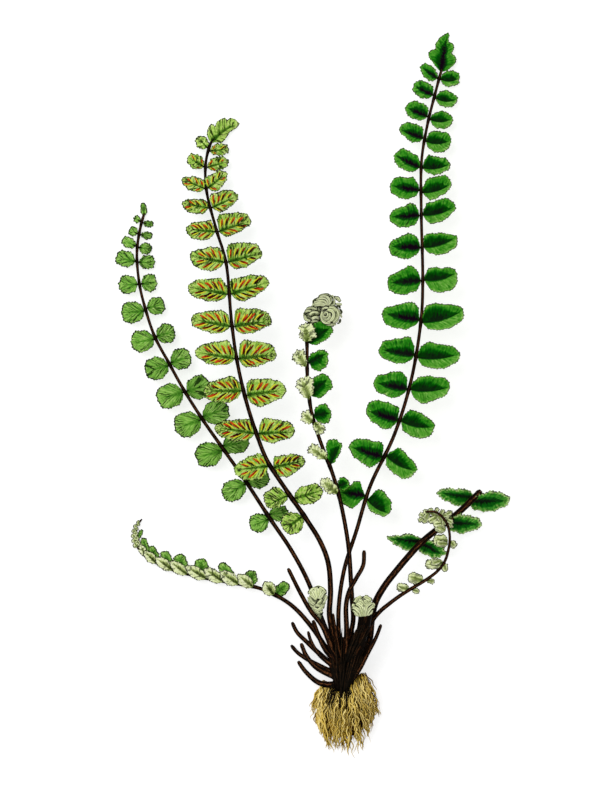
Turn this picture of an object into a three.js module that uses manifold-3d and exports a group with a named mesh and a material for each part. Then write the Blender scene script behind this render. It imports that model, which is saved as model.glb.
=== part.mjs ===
// Maidenhair spleenwort, a whole tufted plant with its roots, lying on a surface.
// Millimetres. X runs across the plant, Y from the roots to the frond tips, Z up.
// Places in the lists are measured from the middle of the spread plant, PLANT_CENTRE moves them
// so that the finished group stands with the middle of its underside at the origin.

import * as THREE from "three";
import { mergeVertices } from "three/addons/utils/BufferGeometryUtils.js";
import Module from "manifold-3d";

const wasm = await Module();
wasm.setup();

// Driving dimensions
const PLANT_CENTRE = { x: 2.5, y: 1.0 };
const PINNA_THICKNESS = 0.36;
const PINNA_FOOT_FULLNESS = 0.78;
const PINNA_BLUNTNESS = 0.7;
const PINNA_STATIONS = [0.14, 0.5, 0.87];
const FOOT_REACH = 0.15;
const FOOT_HALF_WIDTH = 0.15;
const STALK_SIDES = 6;
const STALK_STEP = 4.2;
const STALK_LEAST_STEPS = 4;
const STALK_SAMPLES = 120;
const SEAT_GAP = 0.3;
const RHIZOME = { x: 8.6, y: -52.6, z: 4.9, halfWidth: 2.5, halfLength: 5.2, halfHeight: 2.5 };
const ROOTS = { x: 9.2, y: -62.3, z: 3.6, halfWidth: 6.4, halfLength: 9.0, halfHeight: 4.6 };
const ROOT_LOBES = 9;
const ROOT_LOBE_DEPTH = 0.07;
const ROOT_WAIST = 0.16;
const ROOT_SIDES = 28;
const ROOT_RINGS = 14;
const RHIZOME_SIDES = 14;
const RHIZOME_RINGS = 10;
const BALL_SIDES = 8;
const BALL_RINGS = 6;
const MERGE_DISTANCE = 1e-4;

// Colours and finishes
function finish(color, roughness) {
  return new THREE.MeshStandardMaterial({ color, roughness, metalness: 0 });
}
const UPPER_GREEN = () => finish(0x36722a, 0.55);
const UNDER_GREEN = () => finish(0x848c37, 0.6);
const ROUND_GREEN = () => finish(0x5a8c32, 0.55);
const PALE_GREEN = () => finish(0x96a374, 0.6);
const STIPE_BROWN = () => finish(0x2c211a, 0.35);
const ROOT_TAN = () => finish(0x917a3d, 0.85);

// A stalk is listed from its tip to its foot as x, y, z and has its radius at both ends.
// A pinna is listed as foot x, foot y, tip x, tip y, breadth on the side of the frond's tip,
// breadth on the side of the roots. rise is how far its tip stands above its foot, and lean
// turns it about its own midrib, in degrees. A ball is part of a frond that is still rolled up,
// listed as its middle and its three half sizes.

const TALL_FROND = {
  color: UPPER_GREEN,
  radius: [0.27, 0.45],
  stalk: [
    [28.4, 66.4, 1.3], [27.0, 61.2, 2.6], [25.5, 55.2, 3.9], [24.3, 48.0, 5.2], [24.2, 38.0, 6.6],
    [24.5, 24.0, 7.8], [24.2, 16.4, 8.0], [22.2, 4.0, 7.8], [18.8, -7.0, 7.2], [14.0, -17.2, 6.3],
    [11.3, -26.0, 5.6], [8.8, -34.0, 5.0], [7.7, -42.0, 4.9], [7.9, -49.5, 5.0],
  ],
  rise: -0.9,
  lean: 6,
  pinnae: [
    [27.8, 64.2, 32.0, 64.4, 1.6, 1.6], [26.8, 60.4, 31.5, 60.1, 1.8, 1.7],
    [25.7, 56.0, 30.5, 56.2, 1.7, 2.0], [24.9, 51.6, 30.2, 51.8, 2.1, 2.3],
    [24.3, 46.4, 30.1, 47.2, 2.3, 1.7], [24.2, 41.4, 30.3, 43.2, 2.4, 2.0],
    [24.3, 36.6, 31.0, 38.6, 2.2, 2.4], [24.4, 30.4, 31.4, 32.6, 2.4, 2.5],
    [24.5, 24.0, 31.4, 25.4, 2.2, 3.0], [24.2, 15.6, 32.6, 17.8, 3.2, 2.3],
    [23.1, 8.2, 32.0, 9.2, 2.9, 2.6], [21.9, 2.2, 30.0, 2.6, 2.5, 3.0],
    [19.8, -4.2, 26.9, -5.4, 2.7, 2.8], [16.8, -11.2, 23.2, -14.0, 2.6, 2.4],
    [13.2, -19.6, 18.4, -22.2, 3.0, 2.2],
    [27.7, 64.2, 24.2, 66.8, 1.3, 1.5], [26.8, 60.8, 22.6, 63.0, 1.8, 1.6],
    [25.7, 56.4, 21.1, 58.6, 2.1, 1.6], [24.9, 52.0, 19.8, 54.2, 2.2, 1.5],
    [24.3, 46.4, 18.9, 49.0, 2.0, 1.9], [24.2, 41.6, 18.0, 42.9, 2.3, 2.2],
    [24.2, 36.6, 17.8, 36.6, 2.6, 2.3], [24.3, 30.4, 17.7, 30.8, 2.8, 2.4],
    [24.4, 24.0, 17.4, 23.4, 3.1, 2.6], [24.2, 15.8, 16.4, 17.4, 3.4, 2.4],
    [23.2, 8.8, 15.8, 10.2, 3.4, 2.2], [22.0, 2.2, 14.7, 3.6, 3.3, 2.3],
    [19.7, -4.2, 13.1, -2.0, 2.8, 2.5], [16.6, -11.4, 9.8, -9.2, 2.8, 2.7],
    [13.0, -19.4, 8.0, -18.2, 2.6, 2.6],
  ],
  endLeaf: {
    height: [1.5, 0.3],
    outline: [
      [28.3, 65.6], [26.0, 68.2], [25.7, 70.0], [27.0, 70.9], [28.0, 72.6], [29.6, 73.6],
      [29.9, 71.9], [30.8, 70.2], [31.2, 68.2], [30.2, 66.4],
    ],
  },
};

const FERTILE_FROND = {
  color: UNDER_GREEN,
  radius: [0.28, 0.55],
  stalk: [
    [-16.2, 54.0, 1.0], [-17.8, 51.4, 1.7], [-18.8, 47.6, 2.8], [-18.7, 42.0, 4.4],
    [-16.7, 34.0, 6.0], [-14.8, 27.6, 7.2], [-13.7, 16.0, 8.6], [-12.6, 8.0, 9.0],
    [-10.8, 0.0, 9.0], [-8.8, -6.4, 8.8], [-6.6, -12.0, 8.5], [-3.0, -17.6, 8.0],
    [1.4, -24.0, 7.4], [4.0, -28.2, 7.0], [5.6, -32.4, 6.7], [6.1, -38.0, 6.4],
    [5.9, -43.0, 6.2], [7.2, -50.0, 5.6],
  ],
  rise: -0.9,
  lean: 5,
  pinnae: [
    [-18.2, 49.8, -14.1, 50.2, 1.3, 1.1], [-18.8, 46.6, -14.2, 47.7, 1.5, 1.2],
    [-18.5, 42.0, -14.6, 45.4, 1.9, 1.7], [-18.1, 38.4, -12.3, 40.8, 2.6, 1.6],
    [-16.5, 33.4, -9.7, 35.8, 3.1, 1.6], [-14.5, 27.6, -7.5, 29.4, 3.4, 2.0],
    [-13.9, 21.2, -6.2, 23.6, 2.8, 2.2], [-13.4, 14.6, -5.6, 15.8, 3.4, 1.9],
    [-12.5, 8.2, -4.6, 9.0, 3.5, 2.0], [-10.8, 1.1, -2.7, 2.0, 3.1, 2.6],
    [-8.4, -6.8, -0.9, -6.4, 3.0, 2.0], [-5.8, -13.4, 1.0, -12.0, 2.1, 2.5],
    [-1.8, -19.8, 4.6, -18.0, 1.9, 2.0],
    [-18.2, 50.0, -20.6, 52.6, 1.2, 1.3], [-18.9, 46.4, -22.5, 48.6, 1.5, 1.4],
    [-18.7, 42.0, -23.6, 44.2, 1.7, 1.5], [-18.0, 38.2, -23.6, 39.4, 1.6, 1.7],
    [-16.6, 33.4, -22.8, 34.2, 2.2, 2.0], [-14.8, 27.6, -22.0, 28.8, 2.8, 2.3],
    [-14.1, 21.2, -22.4, 22.6, 2.9, 2.1], [-13.6, 14.4, -21.8, 16.2, 2.9, 2.0],
    [-12.7, 8.0, -21.0, 9.6, 3.3, 1.9], [-11.3, 1.6, -19.3, 1.8, 3.0, 2.4],
    [-8.6, -6.8, -17.1, -5.4, 2.6, 2.1], [-6.0, -13.4, -13.1, -14.0, 2.8, 2.5],
    [-2.3, -19.2, -6.8, -21.2, 2.8, 1.2], [0.8, -23.2, -3.2, -26.0, 2.4, 2.1],
  ],
  endLeaf: {
    height: [1.6, 0.3],
    outline: [
      [-17.8, 51.4], [-18.6, 53.8], [-17.4, 55.1], [-15.8, 56.2], [-13.8, 56.3], [-12.0, 55.4],
      [-13.6, 53.8], [-14.8, 52.2], [-16.8, 51.5],
    ],
  },
};

const ROUND_LEAVED_FROND = {
  color: ROUND_GREEN,
  radius: [0.25, 0.45],
  stalk: [
    [-31.1, 37.4, 0.7], [-31.8, 35.0, 1.0], [-32.6, 29.6, 1.5], [-32.1, 23.2, 2.2],
    [-30.9, 18.2, 2.7], [-29.0, 12.6, 3.2], [-26.2, 7.4, 3.5], [-23.2, 2.0, 3.6],
    [-19.4, -4.0, 3.6], [-15.2, -10.0, 3.5], [-11.0, -16.0, 3.4], [-6.2, -23.4, 3.2],
    [-2.0, -29.6, 3.0], [1.0, -35.0, 2.7], [2.7, -39.0, 2.7], [4.3, -43.6, 2.7],
    [7.6, -51.4, 3.7],
  ],
  rise: -0.7,
  lean: 5,
  pinnae: [
    [-31.4, 35.4, -29.3, 35.0, 0.7, 0.7], [-32.0, 32.8, -29.5, 32.8, 0.8, 0.8],
    [-32.5, 30.8, -29.6, 30.0, 1.2, 1.1], [-32.6, 27.6, -29.0, 27.4, 1.5, 1.3],
    [-32.1, 23.2, -28.6, 23.6, 1.8, 1.8], [-30.8, 18.2, -27.0, 19.2, 1.8, 1.8],
    [-28.9, 12.6, -25.0, 13.8, 2.0, 2.0], [-26.3, 7.4, -21.8, 8.8, 2.2, 2.1],
    [-23.0, 1.8, -18.0, 3.2, 2.4, 2.4], [-19.6, -3.4, -14.2, -1.6, 2.4, 2.4],
    [-15.8, -9.2, -10.2, -8.4, 2.2, 2.0], [-11.0, -16.0, -6.2, -15.0, 2.2, 2.2],
    [-6.2, -22.8, -2.6, -22.6, 1.3, 1.5],
    [-31.5, 35.4, -33.2, 36.6, 0.7, 0.8], [-32.1, 32.8, -34.2, 34.2, 1.0, 1.0],
    [-32.5, 30.6, -35.6, 32.2, 1.1, 1.1], [-32.6, 27.6, -36.9, 28.6, 1.7, 1.5],
    [-32.2, 23.0, -36.3, 23.0, 1.9, 1.9], [-31.0, 18.0, -35.8, 17.4, 2.1, 2.3],
    [-28.8, 12.4, -33.8, 11.4, 2.2, 2.2], [-26.1, 6.8, -31.0, 5.8, 2.3, 2.3],
    [-23.1, 1.8, -28.6, 0.0, 2.5, 2.4], [-19.4, -4.0, -25.0, -5.8, 2.6, 2.5],
    [-15.2, -10.2, -20.9, -11.6, 2.4, 2.5], [-10.6, -16.6, -15.3, -19.4, 2.2, 2.0],
    [-6.2, -23.6, -10.0, -25.4, 2.0, 1.8],
  ],
  endLeaf: {
    height: [0.7, 0.3],
    outline: [
      [-31.2, 36.6], [-32.0, 37.8], [-32.1, 39.0], [-31.6, 39.5], [-31.0, 38.9], [-30.8, 37.6],
    ],
  },
};

const UNROLLING_FROND = {
  color: PALE_GREEN,
  radius: [0.42, 0.48],
  stalk: [
    [2.2, 16.6, 6.6], [1.3, 13.6, 6.7], [1.4, 11.0, 6.8], [1.5, 4.4, 7.0], [2.4, -3.0, 7.3],
    [4.4, -9.2, 7.6], [6.6, -15.0, 7.8], [8.0, -20.0, 7.8], [9.2, -26.0, 7.6],
    [9.8, -30.4, 7.3], [10.1, -35.0, 7.0], [10.4, -40.0, 6.7], [10.6, -44.2, 6.3],
    [9.3, -49.4, 5.4],
  ],
  rise: 0.3,
  lean: 16,
  pinnae: [
    [1.8, 11.2, 6.2, 14.6, 1.8, 1.4], [1.6, 6.0, 5.2, 9.6, 1.7, 2.0],
    [2.2, 0.2, 5.4, 4.6, 1.7, 1.9], [2.4, -2.8, 6.0, -2.8, 2.1, 1.9],
    [5.4, -11.0, 8.0, -8.8, 1.9, 1.5], [7.2, -17.4, 9.6, -16.2, 1.5, 0.6],
    [1.4, 11.0, 1.2, 15.2, 1.5, 1.4], [1.4, 5.6, -1.2, 8.6, 2.0, 0.4],
    [2.2, 0.0, -0.4, 3.2, 2.2, 0.4], [2.4, -4.0, 0.6, -3.4, 1.0, 1.0],
    [3.0, -4.8, 4.6, -6.2, 1.0, 1.0], [5.2, -12.2, 2.0, -9.4, 1.3, 0.8],
    [7.4, -18.8, 4.4, -16.0, 1.2, 1.1],
  ],
  balls: [
    [4.6, 19.6, 6.6, 2.6, 1.9, 2.0], [6.0, 17.4, 6.8, 2.6, 2.7, 2.3],
    [2.6, 16.8, 6.6, 1.7, 1.9, 1.8],
  ],
};

const ARCHING_YOUNG_FROND = {
  color: PALE_GREEN,
  radius: [0.22, 0.42],
  stalk: [
    [-31.6, -23.8, 0.4], [-32.8, -25.4, 0.4], [-33.1, -27.2, 0.5], [-32.6, -29.2, 0.6],
    [-31.4, -30.8, 0.7], [-27.0, -33.4, 0.9], [-20.0, -35.4, 1.2], [-12.0, -36.8, 1.6],
    [-7.6, -37.8, 1.8], [-2.0, -40.8, 2.3], [2.2, -45.2, 2.8], [7.4, -53.0, 3.5],
  ],
  rise: 0.5,
  lean: 0,
  pinnae: [
    [-5.2, -38.8, -7.2, -36.4, 1.4, 1.4], [-9.8, -37.2, -12.4, -34.8, 1.2, 1.2],
    [-13.4, -36.6, -16.0, -34.2, 1.2, 1.2], [-16.2, -36.1, -19.2, -33.6, 1.2, 1.2],
    [-19.8, -35.4, -22.8, -33.2, 1.1, 1.1], [-23.4, -34.6, -25.6, -32.4, 1.0, 1.0],
    [-26.2, -33.6, -28.8, -31.6, 1.0, 1.0], [-29.0, -32.4, -30.8, -30.4, 0.9, 0.9],
    [-31.0, -31.0, -31.8, -29.0, 0.7, 0.7],
    [-4.8, -39.0, -2.4, -36.6, 1.2, 1.3, -0.5], [-9.6, -37.2, -10.0, -34.0, 1.3, 1.3, -0.5],
    [-13.2, -36.6, -16.0, -32.6, 1.1, 1.1, -0.5], [-19.4, -35.5, -20.0, -31.8, 1.4, 1.4, -0.5],
    [-23.2, -34.6, -24.4, -31.0, 1.2, 1.2, -0.4], [-25.6, -33.8, -27.4, -30.4, 1.0, 1.0, -0.4],
    [-28.6, -32.6, -30.0, -29.4, 0.9, 0.9, -0.3], [-30.4, -31.6, -31.4, -27.6, 0.7, 0.7, -0.2],
  ],
};

const BROKEN_FROND = {
  color: UPPER_GREEN,
  radius: [0.62, 0.68],
  stalk: [
    [36.2, -18.1, 4.1], [32.0, -22.2, 4.4], [27.2, -26.0, 4.7], [24.0, -28.7, 4.8],
    [19.0, -34.4, 4.7], [16.6, -37.6, 4.4], [15.0, -40.6, 3.9], [14.3, -44.0, 3.4],
    [13.6, -48.6, 3.1], [9.6, -53.6, 4.0],
  ],
  rise: -1.6,
  lean: 52,
  pinnae: [
    [35.0, -19.4, 27.4, -19.0, 2.2, 2.6, -3.6], [35.0, -19.6, 42.0, -19.8, 2.4, 3.2, -2.2],
    [30.2, -23.8, 36.4, -24.8, 2.4, 2.8, -1.2], [23.4, -29.0, 17.6, -27.9, 2.0, 2.0, -2.4],
    [24.0, -28.8, 28.6, -30.4, 2.0, 2.4, -2.4],
  ],
};

const NODDING_FROND = {
  color: PALE_GREEN,
  radius: [0.36, 0.42],
  stalk: [
    [25.2, -22.6, 8.0], [27.2, -22.4, 8.3], [28.6, -23.4, 8.4], [29.6, -25.2, 8.4],
    [29.9, -27.4, 8.2], [29.6, -30.0, 7.9], [28.9, -32.2, 7.5], [27.6, -34.0, 7.1],
    [25.6, -35.6, 6.7], [20.4, -38.8, 5.9], [17.8, -40.7, 5.5], [15.8, -42.8, 5.2],
    [15.0, -46.4, 4.8], [13.4, -51.2, 4.5], [9.4, -55.4, 4.7],
  ],
  rise: 0,
  lean: 0,
  pinnae: [],
  balls: [
    [28.2, -28.2, 7.9, 1.5, 1.3, 1.0], [30.4, -28.8, 7.9, 0.8, 1.1, 0.8],
    [27.2, -32.7, 7.3, 1.8, 1.2, 1.0], [29.0, -33.2, 7.2, 0.8, 1.0, 0.7],
    [23.2, -35.7, 6.4, 1.5, 1.2, 0.9], [25.9, -36.3, 6.6, 0.9, 0.8, 0.7],
    [20.9, -37.5, 6.0, 1.4, 1.1, 0.9], [23.0, -38.0, 6.2, 0.7, 0.8, 0.6],
    [25.0, -23.4, 8.1, 1.4, 1.3, 1.1], [26.6, -23.8, 8.1, 1.2, 1.2, 1.1],
    [27.8, -25.2, 8.1, 1.3, 1.3, 1.1], [29.3, -23.2, 8.2, 1.0, 0.8, 0.7],
  ],
};

const LEFT_FIDDLEHEAD = {
  color: PALE_GREEN,
  radius: [1.0, 0.4],
  stalk: [
    [3.3, -40.0, 5.5], [3.4, -41.6, 5.1], [4.1, -43.8, 4.6], [5.6, -47.6, 4.4],
    [7.6, -50.8, 4.6],
  ],
  pinnae: [],
  balls: [[3.5, -39.2, 5.8, 1.8, 2.0, 1.7]],
};

const RIGHT_FIDDLEHEAD = {
  color: STIPE_BROWN,
  radius: [1.35, 0.9],
  stalk: [
    [13.0, -42.0, 8.3], [12.9, -44.0, 7.9], [12.3, -46.8, 7.3], [11.2, -50.4, 6.8],
    [9.6, -52.6, 6.0],
  ],
  pinnae: [],
  balls: [[12.7, -41.2, 8.6, 2.2, 2.1, 1.9]],
};

// Old bare stipes, from the broken tip to the foot, with their radius at both ends
const OLD_STIPES = [
  {
    radius: [0.22, 0.48],
    stalk: [[-2.4, -33.6, 6.4], [0.0, -38.4, 6.9], [2.2, -42.2, 7.1], [4.4, -45.0, 7.1],
      [6.6, -50.2, 7.1], [7.6, -52.2, 6.3]],
  },
  {
    radius: [0.42, 0.5],
    stalk: [[2.6, -44.0, 5.6], [3.6, -46.8, 5.9], [5.2, -50.0, 6.1], [7.8, -52.8, 5.6]],
  },
  {
    radius: [0.38, 0.48],
    stalk: [[-1.6, -44.4, 2.4], [-0.6, -46.4, 2.6], [1.4, -48.4, 2.8], [4.0, -50.8, 3.4],
      [7.6, -54.0, 4.7]],
  },
  {
    radius: [0.3, 0.48],
    stalk: [[1.6, -46.2, 4.4], [2.2, -48.2, 4.6], [3.8, -50.8, 5.2], [7.6, -53.8, 5.7]],
  },
  {
    radius: [0.36, 0.48],
    stalk: [[-1.8, -49.0, 1.2], [-0.6, -50.4, 1.3], [1.4, -51.8, 1.7], [4.0, -53.2, 2.5],
      [8.0, -55.2, 4.2]],
  },
  {
    radius: [0.4, 0.5],
    stalk: [[0.2, -48.6, 3.0], [1.2, -51.0, 3.1], [3.2, -53.4, 3.5], [7.6, -55.6, 5.0]],
  },
  {
    radius: [0.42, 0.54],
    stalk: [[-0.4, -52.2, 1.6], [1.2, -54.4, 1.7], [4.0, -56.6, 2.5], [8.4, -56.8, 4.6]],
  },
  {
    radius: [0.34, 0.46],
    stalk: [[16.2, -44.8, 6.4], [15.2, -47.6, 6.4], [12.8, -51.2, 6.0], [9.6, -53.8, 5.2]],
  },
  {
    radius: [0.4, 0.5],
    stalk: [[12.8, -30.0, 8.6], [12.6, -33.0, 8.8], [11.2, -35.6, 9.0], [9.8, -38.2, 9.1],
      [9.2, -41.0, 8.9], [9.3, -46.0, 8.3], [9.1, -52.0, 6.4]],
  },
  {
    radius: [0.25, 0.5],
    stalk: [[6.6, -42.6, 7.9], [7.1, -46.0, 7.9], [8.2, -51.6, 6.6]],
  },
];

const vector = (values) => new THREE.Vector3(...values);

// A closed geometry as a solid that can be joined and cut
function solidOf(geometry) {
  const bare = geometry.clone();
  bare.deleteAttribute("normal");
  bare.deleteAttribute("uv");
  const merged = mergeVertices(bare, MERGE_DISTANCE);
  const mesh = new wasm.Mesh({
    numProp: 3,
    vertProperties: new Float32Array(merged.attributes.position.array),
    triVerts: new Uint32Array(merged.index.array),
  });
  return new wasm.Manifold(mesh);
}

const curveOf = (points) => new THREE.CatmullRomCurve3(points.map(vector), false, "centripetal");

// A finished solid as a named mesh
function meshOf(solid, name, material) {
  const { vertProperties, triVerts } = solid.getMesh();
  const geometry = new THREE.BufferGeometry();
  geometry.setAttribute("position", new THREE.BufferAttribute(vertProperties, 3));
  geometry.setIndex(new THREE.BufferAttribute(triVerts, 1));
  geometry.computeVertexNormals();
  const mesh = new THREE.Mesh(geometry, material);
  mesh.name = name;
  return mesh;
}

// A tapering stalk along its points, fattened all round by extra
function stalkSolid(points, [tipRadius, footRadius], extra = 0) {
  const curve = curveOf(points);
  const steps = Math.max(STALK_LEAST_STEPS, Math.round(curve.getLength() / STALK_STEP));
  const section = new THREE.Shape();
  for (let i = 0; i < STALK_SIDES; i += 1) {
    const angle = (i * 2 * Math.PI) / STALK_SIDES;
    const [x, y] = [Math.cos(angle), Math.sin(angle)];
    if (i === 0) section.moveTo(x, y);
    else section.lineTo(x, y);
  }
  section.closePath();
  const options = { steps, bevelEnabled: false, extrudePath: curve };
  const geometry = new THREE.ExtrudeGeometry(section, options);
  const spine = curve.getSpacedPoints(steps);
  const position = geometry.attributes.position;
  const point = new THREE.Vector3();
  for (let i = 0; i < position.count; i += 1) {
    point.fromBufferAttribute(position, i);
    let nearest = 0;
    for (let k = 1; k <= steps; k += 1) {
      if (point.distanceTo(spine[k]) < point.distanceTo(spine[nearest])) nearest = k;
    }
    const radius = THREE.MathUtils.lerp(tipRadius, footRadius, nearest / steps) + extra;
    point.sub(spine[nearest]).multiplyScalar(radius).add(spine[nearest]);
    position.setXYZ(i, point.x, point.y, point.z);
  }
  return solidOf(geometry);
}

// Height of a stalk's middle line beside a place
function stalkHeight(points, x, y) {
  const near = (p) => Math.hypot(p.x - x, p.y - y);
  return curveOf(points)
    .getPoints(STALK_SAMPLES)
    .reduce((best, p) => (near(p) < near(best) ? p : best)).z;
}

// Share of a pinna's full breadth at s, which runs from 0 at its foot to 1 at its tip
const breadthAt = (s) => Math.sin(Math.PI * s ** PINNA_FOOT_FULLNESS) ** PINNA_BLUNTNESS;

// A leaf blade as a flat plate from its foot to its tip
function bladeSolid(outline, foot, along, across) {
  const shape = new THREE.Shape(outline.map(([x, y]) => new THREE.Vector2(x, y)));
  const options = { depth: PINNA_THICKNESS, bevelEnabled: false };
  const geometry = new THREE.ExtrudeGeometry(shape, options);
  geometry.translate(0, 0, -PINNA_THICKNESS / 2);
  const normal = new THREE.Vector3().crossVectors(along, across);
  geometry.applyMatrix4(new THREE.Matrix4().makeBasis(along, across, normal).setPosition(foot));
  return solidOf(geometry);
}

function pinnaSolid(frond, [footX, footY, tipX, tipY, tipSide, rootSide, rise = frond.rise]) {
  const foot = vector([footX, footY, stalkHeight(frond.stalk, footX, footY)]);
  const along = vector([tipX - footX, tipY - footY, rise]);
  const length = along.length();
  along.normalize();
  const up = vector([0, 0, 1]);
  const left = new THREE.Vector3().crossVectors(up, along).normalize();
  const side = left.y > 0 ? 1 : -1;
  const lean = THREE.MathUtils.degToRad(frond.lean) * side;
  const across = left.applyAxisAngle(along, lean);
  const towardTip = side > 0 ? tipSide : rootSide;
  const towardRoot = side > 0 ? rootSide : tipSide;
  const outline = [
    [-FOOT_REACH, FOOT_HALF_WIDTH],
    [-FOOT_REACH, -FOOT_HALF_WIDTH],
    ...PINNA_STATIONS.map((s) => [s * length, -towardRoot * breadthAt(s)]),
    [length, 0],
    ...PINNA_STATIONS.toReversed().map((s) => [s * length, towardTip * breadthAt(s)]),
  ];
  return bladeSolid(outline, foot, along, across);
}

// The end leaf slopes from its foot down to its tip
function endLeafSolid({ height: [footZ, tipZ], outline }) {
  const [footX, footY] = outline[0];
  const slope = (tipZ - footZ) / Math.max(...outline.map(([, y]) => y - footY));
  const along = vector([1, 0, 0]);
  const across = vector([0, 1, slope]).normalize();
  const stretch = 1 / across.y;
  const local = outline.map(([x, y]) => [x - footX, (y - footY) * stretch]);
  return bladeSolid(local, vector([footX, footY, footZ]), along, across);
}

function ballSolid([x, y, z, halfX, halfY, halfZ]) {
  const geometry = new THREE.SphereGeometry(1, BALL_SIDES, BALL_RINGS);
  geometry.scale(halfX, halfY, halfZ);
  geometry.translate(x, y, z);
  return solidOf(geometry);
}

function frondSolid(frond) {
  const pieces = [stalkSolid(frond.stalk, frond.radius)];
  frond.pinnae.forEach((pinna) => pieces.push(pinnaSolid(frond, pinna)));
  (frond.balls ?? []).forEach((ball) => pieces.push(ballSolid(ball)));
  if (frond.endLeaf) pieces.push(endLeafSolid(frond.endLeaf));
  return wasm.Manifold.union(pieces);
}

// The rhizome, grown all round by extra so that what stands on it keeps its seat gap
function rhizomeSolid(extra = 0) {
  const { x, y, z, halfWidth, halfLength, halfHeight } = RHIZOME;
  const geometry = new THREE.SphereGeometry(1, RHIZOME_SIDES, RHIZOME_RINGS);
  geometry.scale(halfWidth + extra, halfLength + extra, halfHeight + extra);
  geometry.translate(x, y, z);
  return solidOf(geometry);
}

// The root mass is a lobed lump, drawn out toward the root tips and flat underneath
function rootSolid() {
  const { halfWidth, halfLength, halfHeight } = ROOTS;
  const geometry = new THREE.SphereGeometry(1, ROOT_SIDES, ROOT_RINGS);
  geometry.rotateX(Math.PI / 2);
  const position = geometry.attributes.position;
  for (let i = 0; i < position.count; i += 1) {
    const [x, y, z] = [position.getX(i), position.getY(i), position.getZ(i)];
    const lobes = 1 + ROOT_LOBE_DEPTH * Math.cos(ROOT_LOBES * Math.atan2(y, x)) * (1 - z * z);
    const waist = 1 - ROOT_WAIST * y * y;
    position.setXYZ(i, x * lobes * waist * halfWidth, y * lobes * halfLength, z * halfHeight);
  }
  geometry.translate(ROOTS.x, ROOTS.y, ROOTS.z);
  const under = new THREE.BoxGeometry(4 * halfWidth, 4 * halfLength, 2 * halfHeight);
  under.translate(ROOTS.x, ROOTS.y, -halfHeight);
  return solidOf(geometry).subtract(solidOf(under));
}

const FRONDS = {
  tall_frond: TALL_FROND,
  fertile_frond: FERTILE_FROND,
  round_leaved_frond: ROUND_LEAVED_FROND,
  unrolling_frond: UNROLLING_FROND,
  arching_young_frond: ARCHING_YOUNG_FROND,
  broken_frond: BROKEN_FROND,
  nodding_frond: NODDING_FROND,
  left_fiddlehead: LEFT_FIDDLEHEAD,
  right_fiddlehead: RIGHT_FIDDLEHEAD,
};

const plant = new THREE.Group();
const seat = rhizomeSolid(SEAT_GAP);

for (const [name, frond] of Object.entries(FRONDS)) {
  plant.add(meshOf(frondSolid(frond).subtract(seat), name, frond.color()));
}

OLD_STIPES.forEach(({ radius, stalk }, n) => {
  const name = `old_stipe_${String(n + 1).padStart(2, "0")}`;
  plant.add(meshOf(stalkSolid(stalk, radius).subtract(seat), name, STIPE_BROWN()));
});

// The roots close round the rhizome and round every stalk foot that reaches them
const stalks = [...Object.values(FRONDS), ...OLD_STIPES];
const wrapped = stalks.map(({ radius, stalk }) => stalkSolid(stalk, radius, SEAT_GAP));
const roots = rootSolid().subtract(wasm.Manifold.union([seat, ...wrapped]));

plant.add(meshOf(rhizomeSolid(), "rhizome", STIPE_BROWN()));
plant.add(meshOf(roots, "root_mass", ROOT_TAN()));

plant.position.set(-PLANT_CENTRE.x, -PLANT_CENTRE.y, 0);

export default plant;
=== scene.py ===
"""Maidenhair spleenwort: a whole plant lifted with its roots and laid flat, seen from above.

Places in the lists are millimetres from the middle of the spread plant, as it is measured:
x across the plant, y from the roots to the frond tips, z up. PLANT_CENTRE and MM turn them into
the frame's metres when a piece is made.
"""
import math

import bpy
import numpy as np
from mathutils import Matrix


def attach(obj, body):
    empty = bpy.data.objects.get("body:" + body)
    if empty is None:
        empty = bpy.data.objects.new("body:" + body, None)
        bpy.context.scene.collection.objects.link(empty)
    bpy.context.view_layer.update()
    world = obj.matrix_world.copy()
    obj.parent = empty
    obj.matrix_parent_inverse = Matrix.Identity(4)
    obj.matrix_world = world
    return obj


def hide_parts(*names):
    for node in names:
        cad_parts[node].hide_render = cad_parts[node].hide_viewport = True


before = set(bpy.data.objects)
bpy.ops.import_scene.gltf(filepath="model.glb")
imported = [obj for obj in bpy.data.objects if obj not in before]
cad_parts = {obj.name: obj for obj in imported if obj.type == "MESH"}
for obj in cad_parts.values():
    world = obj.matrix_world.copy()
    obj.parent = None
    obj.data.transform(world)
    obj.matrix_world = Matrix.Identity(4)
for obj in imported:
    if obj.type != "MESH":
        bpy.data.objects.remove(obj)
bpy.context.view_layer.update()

MM = 0.001
PLANT_CENTRE = np.array([2.5, 1.0, 0.0])
UP = np.array([0.0, 0.0, 1.0])
CURVE_STEPS = 12

# Picture and camera
PICTURE_HEIGHT = 0.160
CAMERA_HEIGHT = 4.0
SENSOR = 36.0
VIEW_CENTRE = (-0.0025, -0.0010)
FLOOR_HALF = 4.0
LIGHT_PLACE = (-0.55, 0.45, 1.1)
LIGHT_SIZE = 0.9
LIGHT_POWER = 9.0
WORLD_STRENGTH = 0.74
FLOOR_GLOW = 0.7
FLOOR_GRAIN = 900

# Leaf blades
BLADE_THICKNESS = 0.26
BLADE_EDGE_THICKNESS = 0.14
CLEAR_OF_FLOOR = 0.05
BLADE_ROWS = 6
ROW_SPREAD = 0.85
TOOTH_PITCH = 0.64
TOOTH_HEIGHTS = (0.25, 1.35)
LEAST_TEETH = 5
STATIONS_PER_TOOTH = 4
MIDRIB_REACH = 0.93
FOOT_HALF_WIDTH = 0.14
RIPPLE = 0.08
SHADE_SPREAD = (0.85, 1.15)
RAGGED = 0.6
UPPER_FINISH = 0
LOWER_FINISH = 1

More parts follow.
